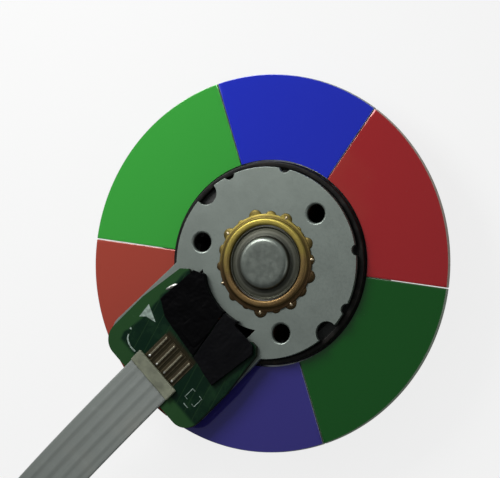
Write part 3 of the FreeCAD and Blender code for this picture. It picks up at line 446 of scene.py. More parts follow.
def cap_finish(name, base):
    """Pressed steel: a rubbed boss on a flange that has gone dull and olive, with a ring of painted
    shade at the boss's foot and a ring of painted highlight on the flange.
    """
    finish = Finish(name)
    reach = finish.reach()
    mottle = finish.noise(1.8, 3.0)
    fine = finish.noise(12.0, 2.0)
    flange = finish.ramp(reach, 2.62, 2.8)
    # Painted shade: a dark ring where the boss meets the flange.
    foot = finish.ramp(finish.maths("ABSOLUTE", reach - 2.95), 0.1, 0.34, 1.0, 0.0)
    # Painted highlight: a lighter ring across the flange's dish.
    ring = finish.ramp(finish.maths("ABSOLUTE", reach - 3.3), 0.03, 0.16, 1.0, 0.0)
    tone = finish.over(shaded(base, 0.92), shaded(base, 1.06), mottle, 0.3, 0.7)
    tone = finish.mix(tone, (0.058, 0.056, 0.036), flange * 0.88)
    tone = finish.mix(tone, (0.04, 0.042, 0.036), foot * 0.6)
    tone = finish.mix(tone, (0.18, 0.18, 0.15), ring * 0.35)
    tone = finish.over(tone, shaded(base, 0.6), fine, 0.62, 0.8, 0.3)
    rough = finish.ramp(mottle, 0.3, 0.7, 0.28, 0.36) + flange * 0.1
    return finish.done(tone, rough, 0.8, finish.bump(mottle + fine * 0.5, 0.008, 0.5))


def coated_finish(name, base):
    """Black coating on steel, worn a little to brown and grey."""
    finish = Finish(name)
    wear = finish.noise(1.1, 4.0)
    fine = finish.noise(16.0, 3.0)
    tone = finish.over(base, shaded(base, 2.2), wear, 0.48, 0.74, 0.7)
    tone = finish.over(tone, (0.05, 0.036, 0.028), wear * fine, 0.3, 0.42, 0.5)
    rough = finish.ramp(wear, 0.3, 0.75, 0.33, 0.52)
    return finish.done(
        tone, rough, 0.15, finish.bump(fine, 0.01, 0.4), Specular_IOR_Level=0.22)


def board_finish(name, copper, bare):
    """Green solder mask: darker over the copper, which runs out to the right edge and there stands
    for painted shade, with raised traces, and a cut laminate edge.
    """
    finish = Finish(name)
    across, along, _ = finish.axes()
    edge = finish.noise(0.7, 1.0) * 0.8
    # The copper is cut back only from the left and lower edges, so the dark right margin is painted
    # shade.
    inner = finish.ramp(across - edge, -5.9, -5.5)
    lower = finish.ramp(along, -17.6, -17.1)
    copper_and_shade = inner * lower
    flux = finish.ramp(finish.maths("ABSOLUTE", across - 0.25), 2.1, 2.5, 1.0, 0.0)
    flux = flux * finish.ramp(finish.maths("ABSOLUTE", along + 14.7), 1.7, 2.3, 1.0, 0.0)
    weave = finish.noise(6.0, 2.0, finish.stretched(1.0, 0.25)) + finish.noise(
        6.0, 2.0, finish.stretched(0.25, 1.0))
    trace = finish.maths("PINGPONG", across * 0.8 + along * 0.25, 0.5)
    gap = finish.ramp(trace, 0.03, 0.06, 1.0, 0.0) * copper_and_shade
    cloud = finish.noise(0.5, 3.0)
    tone = finish.mix(bare, copper, copper_and_shade)
    tone = finish.mix(tone, shaded(bare, 0.6), gap * 0.5)
    tone = finish.over(tone, shaded(bare, 1.2), cloud, 0.5, 0.8, 0.3)
    tone = finish.mix(tone, (0.022, 0.016, 0.007), flux * 0.9)
    tone = finish.mix((0.012, 0.018, 0.008), tone, finish.facing_up())
    rough = finish.ramp(cloud, 0.3, 0.7, 0.16, 0.3) + (1 - finish.facing_up()) * 0.4
    height = copper_and_shade - gap + weave * 0.05
    return finish.done(
        tone, rough, 0.0, finish.bump(height, 0.02, 0.7),
        Specular_IOR_Level=0.12, Coat_Weight=0.05, Coat_Roughness=0.12)


def tape_finish(name, base, roughness, gloss):
    """Dull cloth-backed tape: a fine weave, fluff and a few shiny rubbed places."""
    finish = Finish(name)
    across, along, _ = finish.axes()
    warp = finish.maths("SINE", across * 34) + finish.maths("SINE", along * 34)
    fluff = finish.noise(2.2, 5.0)
    rub = finish.noise(0.7, 3.0)
    tone = finish.over(base, shaded(base, 2.0), fluff, 0.55, 0.85, 0.6)
    rough = finish.ramp(rub, 0.35, 0.7, roughness - gloss, roughness)
    height = warp * 0.25 + fluff * 1.5
    return finish.done(
        tone, rough, 0.0, finish.bump(height, 0.02, 0.5), Specular_IOR_Level=0.04)


def plastic_finish(name, base, roughness=0.45, mottle=0.25, scale=0.8):
    """Moulded or filled plastic with a slight mottle and a dirty tone here and there."""
    finish = Finish(name)
    cloud = finish.noise(scale, 4.0)
    fine = finish.noise(12.0, 3.0)
    tone = finish.over(shaded(base, 1 - mottle), shaded(base, 1 + mottle * 0.6), cloud, 0.3, 0.7)
    tone = finish.over(tone, shaded(base, 0.6), fine, 0.6, 0.8, 0.25)
    rough = finish.ramp(cloud, 0.3, 0.7, roughness - 0.02, roughness + 0.04)
    return finish.done(tone, rough, 0.0, finish.bump(fine * 0.4 + cloud, 0.01, 0.4))


def crowned_finish(name, base, dark, low, high):
    """Bare tinned conductor: dark with burnt flux below the heights given, and pale above them on
    its crown as a painted highlight, with brighter painted glints.
    """
    finish = Finish(name)
    _, _, level = finish.axes()
    burnt = finish.noise(1.8, 3.0)
    # Painted highlight: the crown of each conductor is paler than its burnt sides.
    crown = finish.ramp(level + (burnt - 0.5) * (high - low) * 0.8, low, high)
    tone = finish.mix(dark, base, crown)
    # Painted glints: brighter spots on the crown.
    rubbed = finish.ramp(burnt, 0.55, 0.75, 0.0, 0.5) * crown
    tone = finish.mix(tone, shaded(base, 1.7), rubbed)
    rough = finish.ramp(crown, 0.0, 1.0, 0.5, 0.26)
    return finish.done(tone, rough, 0.75, finish.bump(finish.noise(9.0, 3.0), 0.015, 0.5))


def tin_finish(name, base, dark, metallic=0.85):
    """Tinned copper: pale where it is rubbed, brown where the flux has burnt on."""
    finish = Finish(name)
    burnt = finish.noise(1.5, 4.0)
    fine = finish.noise(9.0, 3.0, finish.stretched(1.0, 0.3))
    tone = finish.over(base, dark, burnt, 0.4, 0.66, 0.85)
    tone = finish.over(tone, shaded(base, 1.5), fine, 0.6, 0.75, 0.5)
    rough = finish.ramp(burnt, 0.3, 0.7, 0.28, 0.36)
    return finish.done(tone, rough, metallic, finish.bump(fine * 0.2 + burnt, 0.01, 0.5))


def ribbon_finish(name, base, pitch):
    """White jacket of a ribbon: fine lines along it, a grey cast over the conductors and scuffs."""
    finish = Finish(name)
    across, along, _ = finish.axes()
    wave = finish.maths("COSINE", (across - RIBBON_ROUTE[0][0] / MM) * (2 * math.pi / pitch))
    lines = finish.noise(5.0, 3.0, finish.stretched(1.0, 0.02, 0.02))
    scuff = finish.noise(0.8, 4.0)
    dirt = finish.noise(0.16, 3.0)
    tone = finish.mix(base, shaded(base, 0.8), finish.ramp(wave, -0.2, 0.9, 0.35, 0.0))
    tone = finish.over(tone, shaded(base, 0.72), lines, 0.5, 0.75, 0.35)
    tone = finish.over(tone, shaded(base, 1.16), scuff, 0.5, 0.8, 0.4)
    tone = finish.over(tone, (0.3, 0.29, 0.25), dirt, 0.5, 0.8, 0.4)
    rough = finish.ramp(dirt, 0.3, 0.7, 0.44, 0.5)
    return finish.done(
        tone, rough, 0.0, finish.bump(finish.noise(0.5, 1.0), 0.02, 0.5), Specular_IOR_Level=0.4)


def magnet_finish(name, base):
    """Sintered magnet: dark grey-brown grains."""
    finish = Finish(name)
    grain = finish.noise(7.0, 5.0)
    tone = finish.over(base, shaded(base, 1.9), grain, 0.4, 0.7)
    rough = finish.ramp(grain, 0.3, 0.7, 0.5, 0.7)
    return finish.done(tone, rough, 0.3, finish.bump(grain, 0.03, 0.6))


def laminated_finish(name, base):
    """Stacked sheets: thin dark lines between them, and punched edges."""
    finish = Finish(name)
    _, _, level = finish.axes()
    sheet = finish.maths("PINGPONG", level * 3.4, 0.5)
    line = finish.ramp(sheet, 0.03, 0.1, 1.0, 0.0) * (1 - finish.facing_up())
    grain = finish.noise(4.0, 3.0)
    tone = finish.over(base, shaded(base, 1.4), grain, 0.35, 0.7)
    tone = finish.mix(tone, shaded(base, 0.3), line)
    rough = finish.ramp(grain, 0.3, 0.7, 0.35, 0.5)
    return finish.done(tone, rough, 0.9, finish.bump(grain - line, 0.03, 0.6))


def enamel_finish(name, base):
    """Enamelled copper wire: glossy, and a little darker in places."""
    finish = Finish(name)
    cloud = finish.noise(1.2, 3.0)
    tone = finish.over(base, shaded(base, 0.55), cloud, 0.4, 0.7)
    rough = finish.ramp(cloud, 0.3, 0.7, 0.18, 0.3)
    return finish.done(tone, rough, 0.85, finish.bump(cloud, 0.01, 0.4), Coat_Weight=0.5)


def glue_finish(name, base):
    """Hardened clear glue with small bubbles."""
    finish = Finish(name)
    bubble = finish.node("ShaderNodeTexVoronoi", None, {"Vector": finish.place, "Scale": 2.4})
    spot = finish.ramp(bubble, 0.08, 0.2, 1.0, 0.0)
    tone = finish.mix(base, shaded(base, 1.3), spot)
    return finish.done(
        tone, finish.ramp(bubble, 0.0, 0.6, 0.1, 0.25), 0.0, finish.bump(spot, 0.02, 0.6),
        Transmission_Weight=0.2, IOR=1.5)


GOLD = screen(178, 161, 78)
# The brass's tarnish colour, which also serves as its painted shade on the darker side.
GOLD_TINT = screen(116, 92, 60)
STEEL = screen(134, 142, 135)
CAP_STEEL = screen(128, 134, 126)
BLACK = screen(17, 15, 13)


def make_finishes(glass, board):
    """Every material: those of the record's slots, and those that only some pieces here have."""
    dull = (0.2, 0.2, 0.2)
    finishes = {
        "hub_aluminium": turned_finish(
            "turned_aluminium", (0.62, 0.63, 0.65), (0.42, 0.43, 0.45), 0.26,
            pitch=0.16, stain=0.15),
        "putty": plastic_finish("balancing_putty", (0.26, 0.3, 0.24), 0.6, 0.4, 1.6),
        "timing_mark": plastic_finish("timing_mark_black", (0.006, 0.006, 0.006), 0.75, 0.3),
        "clear_glue": glue_finish("clear_glue", (0.1, 0.1, 0.075)),
        "black_can": coated_finish("black_coating", BLACK),
        "magnet": magnet_finish("sintered_magnet", (0.035, 0.036, 0.034)),
        "shaft_steel": turned_finish(
            "ground_shaft", (0.6, 0.6, 0.61), dull, 0.16, pitch=0.05, stain=0.3),
        "spring_steel": plate_finish("spring_steel", (0.32, 0.32, 0.33), 0.3),
        "bearing_steel": turned_finish(
            "bearing_steel", (0.62, 0.62, 0.64), dull, 0.12, pitch=0.07, stain=0.2),
        "cage_steel": plate_finish("cage_steel", (0.36, 0.36, 0.36), 0.34),
        "plate_steel": plate_finish("satin_plate", STEEL),
        "housing_brass": brass_finish("turned_brass", GOLD, GOLD_TINT),
        "cap_steel": cap_finish("pressed_steel", CAP_STEEL),
        # Painted highlights: the pale brass of six nib tips.
        "highlight_brass": turned_finish("rubbed_brass", (0.6, 0.5, 0.34), GOLD_TINT, 0.36, stain=0.3),
        "core_steel": laminated_finish("core_sheets", (0.12, 0.12, 0.125)),
        "dark_insulator": plastic_finish("insulator_resin", (0.012, 0.012, 0.011), 0.42, 0.15),
        "copper_wire": enamel_finish("enamelled_copper", (0.16, 0.05, 0.02)),
        "green_board": board_finish("solder_mask", board.mask_green, board.bare_green),
        "tin": tin_finish("tinned_copper", (0.5, 0.48, 0.42), (0.34, 0.31, 0.25)),
        "flux": tin_finish("burnt_flux", (0.075, 0.06, 0.028), (0.025, 0.018, 0.007), 0.3),
        "crowned_tin": crowned_finish(
            "crowned_tin", (0.28, 0.255, 0.18), (0.03, 0.022, 0.009), 7.415, 7.445),
        "black_tape": tape_finish("black_tape", board.tape, 0.72, 0.25),
        "grey_tape": tape_finish("dark_grey_tape", board.grey_tape, 0.62, 0.22),
        "cream_bar": plastic_finish("cream_bar", board.bar, 0.5, 0.3, 0.7),
        "white_ribbon": ribbon_finish("ribbon_jacket", board.ribbon, board.conductor_pitch / MM),
        "blue_tab": plastic_finish("stiff_tab", (0.03, 0.09, 0.32), 0.35, 0.2),
        "silk": plastic_finish("silk_print", (0.27, 0.35, 0.3), 0.6, 0.4, 2.5),
        "solder": tin_finish("solder", (0.68, 0.68, 0.64), (0.3, 0.29, 0.25), 0.9),
    }
    # Each direction in degrees is where a coat's painted light and shade turn it to its second
    # colour.
    for shade, direction in zip(COLOURS, (223, -47, 0)):
        finishes[f"{shade}_glass"] = glass_finish(
            f"{shade}_coating", getattr(glass, shade), getattr(glass, f"{shade}_turn"),
            math.radians(direction))
    return finishes


def finish_of(slot):
    """The material that an earlier operator made for a slot."""
    return bpy.data.materials[bpy.context.scene["colorwheel_finishes"][slot]]


# Meshes

def linked(name, mesh):
    piece = bpy.data.objects.new(name, mesh)
    bpy.context.scene.collection.objects.link(piece)
    return piece


def closed(name, shape, crease=CREASE):
    """A mesh from a bmesh: doubles merged, faces outward, smooth up to the crease in degrees."""
    bmesh.ops.remove_doubles(shape, verts=shape.verts, dist=1e-7)
    bmesh.ops.recalc_face_normals(shape, faces=shape.faces)
    mesh = bpy.data.meshes.new(name)
    shape.to_mesh(mesh)
    shape.free()
    smooth(mesh, crease)
    return mesh


def smooth(mesh, crease=CREASE):
    mesh.polygons.foreach_set("use_smooth", [True] * len(mesh.polygons))
    mesh.set_sharp_from_angle(angle=math.radians(crease))


def settled(piece):
    """The piece with its modifiers applied."""
    evaluated = piece.evaluated_get(bpy.context.evaluated_depsgraph_get())
    mesh = bpy.data.meshes.new_from_object(evaluated)
    piece.modifiers.clear()
    piece.data = mesh
    return piece


def outward(piece, crease=CREASE):
    """The piece with all its faces outward, smooth up to the crease angle in degrees."""
    shape = bmesh.new()
    shape.from_mesh(piece.data)
    bmesh.ops.recalc_face_normals(shape, faces=shape.faces)
    shape.to_mesh(piece.data)
    shape.free()
    smooth(piece.data, crease)
    return piece


def evened(piece):
    """The piece with normals that keep its large faces flat beside small rounded edges."""
    even = piece.modifiers.new("even", "WEIGHTED_NORMAL")
    even.keep_sharp = True
    return settled(piece)


def bevelled(piece, width, segments=2, limit="ANGLE", clamped=True):
    """The piece with its sharp or its weighted edges rounded."""
    bevel = piece.modifiers.new("edges", "BEVEL")
    bevel.width = width
    bevel.segments = segments
    bevel.limit_method = limit
    bevel.angle_limit = math.radians(CREASE)
    bevel.use_clamp_overlap = clamped
    settled(piece)
    smooth(piece.data)
    return evened(piece)


def arc_points(corner, before, after, rounding, steps=5):
    """An arc that rounds one corner of an outline."""
    back = (before - corner).normalized()
    onward = (after - corner).normalized()
    half = back.angle(onward) / 2
    middle = corner + (back + onward).normalized() * (rounding / math.sin(half))
    start = corner + back * (rounding / math.tan(half)) - middle
    turn = start.angle_signed(corner + onward * (rounding / math.tan(half)) - middle)
    return [middle + Matrix.Rotation(-turn * step / steps, 2) @ start for step in range(steps + 1)]


def rounded(corners):
    """An outline's points; a corner's third number is its rounding."""
    points = []
    for place, (across, up, *rounding) in enumerate(corners):
        here = Vector((across, up))
        if rounding:
            before = Vector(corners[place - 1][:2])
            after = Vector(corners[(place + 1) % len(corners)][:2])
            points.extend(arc_points(here, before, after, rounding[0]))
        else:
            points.append(here)
    return points


def turned(name, corners):
    """A piece turned about the spin axis from a closed outline of radii, heights and roundings."""
    shape = bmesh.new()
    rings = []
    for radius, height in rounded(corners):
        count = ROUND_STEPS if radius > 1e-9 else 1
        rings.append([
            shape.verts.new((
                radius * math.cos(2 * math.pi * step / ROUND_STEPS),
                radius * math.sin(2 * math.pi * step / ROUND_STEPS),
                height,
            ))
            for step in range(count)
        ])
    for place, ring in enumerate(rings):
        onward = rings[(place + 1) % len(rings)]
        for step in range(ROUND_STEPS):
            corners_of_face = []
            for vert in (
                ring[step % len(ring)],
                ring[(step + 1) % len(ring)],
                onward[(step + 1) % len(onward)],
                onward[step % len(onward)],
            ):
                if vert not in corners_of_face:
                    corners_of_face.append(vert)
            if len(corners_of_face) > 2:
                shape.faces.new(corners_of_face)
    return evened(linked(name, closed(name, shape)))


def plain_form(node):
    """A CAD node's form with its flat faces whole."""
    shape = bmesh.new()
    shape.from_mesh(frame["nodes"][node].data)
    bmesh.ops.remove_doubles(shape, verts=shape.verts, dist=2e-7)
    bmesh.ops.dissolve_limit(
        shape, angle_limit=math.radians(0.5), verts=shape.verts, edges=shape.edges)
    return shape


def outlines(edges):
    """Edges grouped by the outline that they belong to."""
    left = set(edges)
    groups = []
    while left:
        group = [left.pop()]
        for edge in group:
            joined = {other for vert in edge.verts for other in vert.link_edges} & left
            left -= joined
            group.extend(joined)
        groups.append(group)
    return groups


def softened(name, node):
    """A copy of a CAD node's form with broken edges."""
    return bevelled(linked(name, closed(name, plain_form(node))), BROKEN_EDGE)


def is_crease(edge):
    return edge.calc_face_angle(0) > math.radians(CREASE)


def bevel_weights(shape):
    """A new layer of the edges' weights, which a bevel by weight reads."""
    return shape.edges.layers.float.new("bevel_weight_edge")


def worn(name, node, voxel, hollow, wave, seed=0.0):
    """A soft, uneven copy of a CAD node: small voxels, moved inward by two noises."""
    piece = linked(name, frame["nodes"][node].data.copy())
    remesh = piece.modifiers.new("voxels", "REMESH")
    remesh.mode = "VOXEL"
    remesh.voxel_size = voxel
    ease = piece.modifiers.new("ease", "SMOOTH")
    ease.factor = 0.5
    ease.iterations = 3
    settled(piece)
    offset = Vector((seed, 0, 0))
    fine_wave = wave * 0.22
    moved = []
    for vert in piece.data.vertices:
        broad = noise.noise(vert.co / wave + offset)
        fine = noise.noise(vert.co / fine_wave + offset)
        moved.append(vert.co - vert.normal * hollow * (0.5 - 0.42 * broad - 0.16 * fine))
    for vert, place in zip(piece.data.vertices, moved):
        vert.co = place
    smooth(piece.data, 70)
    return piece


def outer_radius(node):
    """The largest distance of a CAD node's corners from the spin axis."""
    return max(vert.co.xy.length for vert in frame["nodes"][node].data.vertices)


def slot_of(node):
    """The record's material slot of a CAD node."""
    return next(row["material_slot"] for row in frame["record"]["subparts"] if row["node"] == node)


def dressed(piece, finish, body, *nodes, slot=None):
    """Gives a piece its finish and its body, and hides the CAD nodes that it stands for."""
    piece.data.materials.clear()
    piece.data.materials.append(finish_of(finish))
    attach(piece, body)
    if nodes:
        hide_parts(*nodes)
    slot or slot_of(nodes[0])
    return piece


# Geometry nodes

class Growth(Recipe):
    """A geometry tree with named inputs; what it makes is kept as a plain mesh."""

    def __init__(self, name, **inputs):
        super().__init__(bpy.data.node_groups.new(name, "GeometryNodeTree"))
        self.tree.interface.new_socket(
            "Geometry", in_out="OUTPUT", socket_type="NodeSocketGeometry")
        kinds = {
            float: "NodeSocketFloat", int: "NodeSocketInt",
            bpy.types.Material: "NodeSocketMaterial"}
        self.values = {}
        for label, content in inputs.items():
            title = label.replace("_", " ").capitalize()
            socket = self.tree.interface.new_socket(
                title, in_out="INPUT", socket_type=kinds[type(content)])
            self.values[socket.identifier] = content
        self.entry = self.tree.nodes.new("NodeGroupInput")
        self.exit = self.tree.nodes.new("NodeGroupOutput")

    def given(self, title):
        return Wire(self, self.entry.outputs[title])

    def finished(self, name, geometry, crease=CREASE):
        """Ends the tree, runs it once and keeps its mesh."""
        real = self.node("GeometryNodeRealizeInstances", None, {"Geometry": geometry})
        painted = self.node(
            "GeometryNodeSetMaterial", None, {"Geometry": real, "Material": self.given("Finish")})
        self.tree.links.new(painted.socket, self.exit.inputs["Geometry"])
        piece = linked(name, bpy.data.meshes.new(name))
        growth = piece.modifiers.new("growth", "NODES")
        growth.node_group = self.tree
        for identifier, content in self.values.items():
            growth[identifier] = content
        return outward(settled(piece), crease)

    def combine(self, across=0.0, along=0.0, up=0.0):
        return self.node("ShaderNodeCombineXYZ", None, {"X": across, "Y": along, "Z": up})

    def join(self, *pieces):
        whole = self.node("GeometryNodeJoinGeometry")
        for piece in pieces:
            self.tree.links.new(piece.socket, whole.socket.node.inputs[0])
        return whole

    def grid(self, across, along):
        """Starts a sheet of the given points each way; its two shares, from 0 to 1."""
        self.blank = self.node("GeometryNodeMeshGrid", None, {
            "Size X": 1.0, "Size Y": 1.0, "Vertices X": across, "Vertices Y": along})
        place = self.node("GeometryNodeInputPosition")
        split = self.node("ShaderNodeSeparateXYZ", None, {"Vector": place}).socket.node
        return [Wire(self, split.outputs[axis]) + 0.5 for axis in (0, 1)]

    def thick_sheet(self, position, thickness):
        """The started sheet, moved to its place and thickened along Z."""
        sheet = self.node("GeometryNodeSetPosition", None, {
            "Geometry": self.blank, "Position": position})
        other_side = self.node("GeometryNodeExtrudeMesh", None, {
            "Mesh": sheet, "Offset": self.combine(up=1.0), "Offset Scale": thickness,
            "Individual": False})
        first_side = self.node("GeometryNodeFlipFaces", None, {"Mesh": sheet})
        return self.node("GeometryNodeMergeByDistance", None, {
            "Geometry": self.join(other_side, first_side), "Distance": 1e-7})

    def around(self, geometry, count, first):
        """Copies of a geometry turned evenly about the spin axis."""
        points = self.node("GeometryNodeMeshLine", None, {
            "Count": count, "Start Location": (0, 0, 0), "Offset": (0, 0, 0)})
        index = self.node("GeometryNodeInputIndex")
        turn = self.combine(up=index * (2 * math.pi) / count + first)
        return self.node("GeometryNodeInstanceOnPoints", None, {
            "Points": points, "Instance": geometry, "Rotation": turn})


def sector_growth(name, material, inner, outer, low, high, start, sweep):
    """A slice of a ring: a grid bent round the spin axis, and given its thickness."""
    growth = Growth(
        name, inner_radius=inner, outer_radius=outer, lower_face=low, thickness=high - low,
        start_angle=start, sweep=sweep, finish=material)
    share_round, share_out = growth.grid(max(12, round(math.degrees(sweep))), 5)
    reach = growth.given("Inner radius") + share_out * (
        growth.given("Outer radius") - growth.given("Inner radius"))
    turn = growth.given("Start angle") + share_round * growth.given("Sweep")
    bent = growth.combine(
        reach * growth.maths("COSINE", turn), reach * growth.maths("SINE", turn),
        growth.given("Lower face"))
    return growth.finished(name, growth.thick_sheet(bent, growth.given("Thickness")))


def strip_growth(name, material, low, high, width, pitch, count):
    """A row of bare flat conductors along Y, crowned and a little uneven."""
    side = 0.2  # share of the height that the strips have at their sides
    growth = Growth(
        name, width=width, pitch=pitch, first=low.x + width / 2, near_end=low.y, far_end=high.y,
        lower_face=low.z, height=high.z - low.z, count=count, finish=material)
    across, along = growth.grid(13, 48)
    place = growth.combine(across * 4, along * 30)
    wave = growth.node("ShaderNodeTexNoise", None, {"Vector": place, "Scale": 1.0, "Detail": 2.0})
    crown = growth.maths("SINE", across * math.pi) ** 2.2
    ends = growth.maths("MINIMUM", along * 14, (1 - along) * 14)
    crown = crown * growth.maths("MINIMUM", ends, 1.0) * (wave * 0.5 + 0.7)
    bent = growth.combine(
        (across - 0.5) * growth.given("Width") + (wave - 0.5) * 0.1 * MM,
        growth.given("Near end") + along * (growth.given("Far end") - growth.given("Near end")),
        growth.given("Lower face") + growth.given("Height") * (side + crown * (1 - side)))
    strip = growth.thick_sheet(bent, growth.given("Height") * -side)
    points = growth.node("GeometryNodeMeshLine", None, {
        "Count": growth.given("Count"),
        "Start Location": growth.combine(growth.given("First")),
        "Offset": growth.combine(growth.given("Pitch")),
    })
    row = growth.node("GeometryNodeInstanceOnPoints", None, {"Points": points, "Instance": strip})
    return growth.finished(name, row, 60)


def coil_growth(name, material, teeth, turns, wire, near, far, half, corner, low, high):
    """Windings round every tooth: rounded loops side by side, in two layers."""
    growth = Growth(
        name, teeth=teeth, turns=turns, wire_radius=wire, near_radius=near, far_radius=far,
        half_width=half, corner=corner, lower=low, upper=high, finish=material)
    layers = []
    for layer in (0, 1):
        inward = growth.given("Wire radius") * (1 + 1.8 * layer)
        loop = growth.node("GeometryNodeCurvePrimitiveQuadrilateral", None, {
            "Width": (growth.given("Half width") - inward) * 2,
            "Height": growth.given("Upper") - growth.given("Lower") - inward * 2,
        })
        bent = growth.node("GeometryNodeFilletCurve", {"mode": "POLY"}, {
            "Curve": loop, "Radius": growth.given("Corner"), "Count": 5})
        section = growth.node("GeometryNodeCurvePrimitiveCircle", None, {
            "Resolution": 6, "Radius": growth.given("Wire radius")})
        tube = growth.node(
            "GeometryNodeCurveToMesh", None, {"Curve": bent, "Profile Curve": section})
        upright = growth.node("GeometryNodeTransform", None, {
            "Geometry": tube, "Rotation": (math.pi / 2, 0, math.pi / 2)})
        first = growth.given("Near radius") + growth.given("Wire radius") * (1 + layer)
        run = growth.given("Far radius") - growth.given("Wire radius") * (1 + layer) - first
        row = growth.node("GeometryNodeMeshLine", None, {
            "Count": growth.given("Turns"),
            "Start Location": growth.combine(
                first, 0.0, (growth.given("Upper") + growth.given("Lower")) / 2),
            "Offset": growth.combine(run / (growth.given("Turns") - 1)),
        })
        layers.append(growth.node("GeometryNodeInstanceOnPoints", None, {
            "Points": row, "Instance": upright}))
    coil = growth.node("GeometryNodeRealizeInstances", None, {"Geometry": growth.join(*layers)})
    return growth.finished(name, growth.around(coil, growth.given("Teeth"), -math.pi / 2), 60)


def nib_growth(name, material, count, first, radius, reach, level, height, width, seed):
    """A ring of blunt nibs of uneven size that were struck outward from a collar."""
    growth = Growth(
        name, count=count, first_angle=first, ring_radius=radius, reach=reach, level=level,
        height=height, width=width, seed=seed, finish=material)
    ball = growth.node(
        "GeometryNodeMeshUVSphere", None, {"Segments": 20, "Rings": 12, "Radius": 1.0})
    sized = growth.node("GeometryNodeTransform", None, {
        "Geometry": ball,
        "Scale": growth.combine(
            growth.given("Reach"), growth.given("Width"), growth.given("Height")),
    })
    turn = growth.given("First angle") + growth.node("GeometryNodeInputIndex") * (
        2 * math.pi) / growth.given("Count")
    points = growth.node("GeometryNodeMeshLine", None, {
        "Count": growth.given("Count"), "Start Location": (0, 0, 0), "Offset": (0, 0, 0)})
    placed = growth.node("GeometryNodeSetPosition", None, {
        "Geometry": points,
        "Position": growth.combine(
            growth.given("Ring radius") * growth.maths("COSINE", turn),
            growth.given("Ring radius") * growth.maths("SINE", turn),
            growth.given("Level")),
    })
    uneven = growth.node("FunctionNodeRandomValue", {"data_type": "FLOAT"}, {
        "Min": 0.62, "Max": 1.08, "Seed": growth.given("Seed")}, output=1)
    nibs = growth.node("GeometryNodeInstanceOnPoints", None, {
        "Points": placed, "Instance": sized, "Rotation": growth.combine(up=turn), "Scale": uneven})
    return growth.finished(name, nibs, 50)


# Operators

class ColorwheelStep(Operator):
    """Base of the operators that dress the wheel"""
    bl_options = {"REGISTER", "UNDO"}

    def execute(self, context):
        self.dress(context.scene)
        return {"FINISHED"}


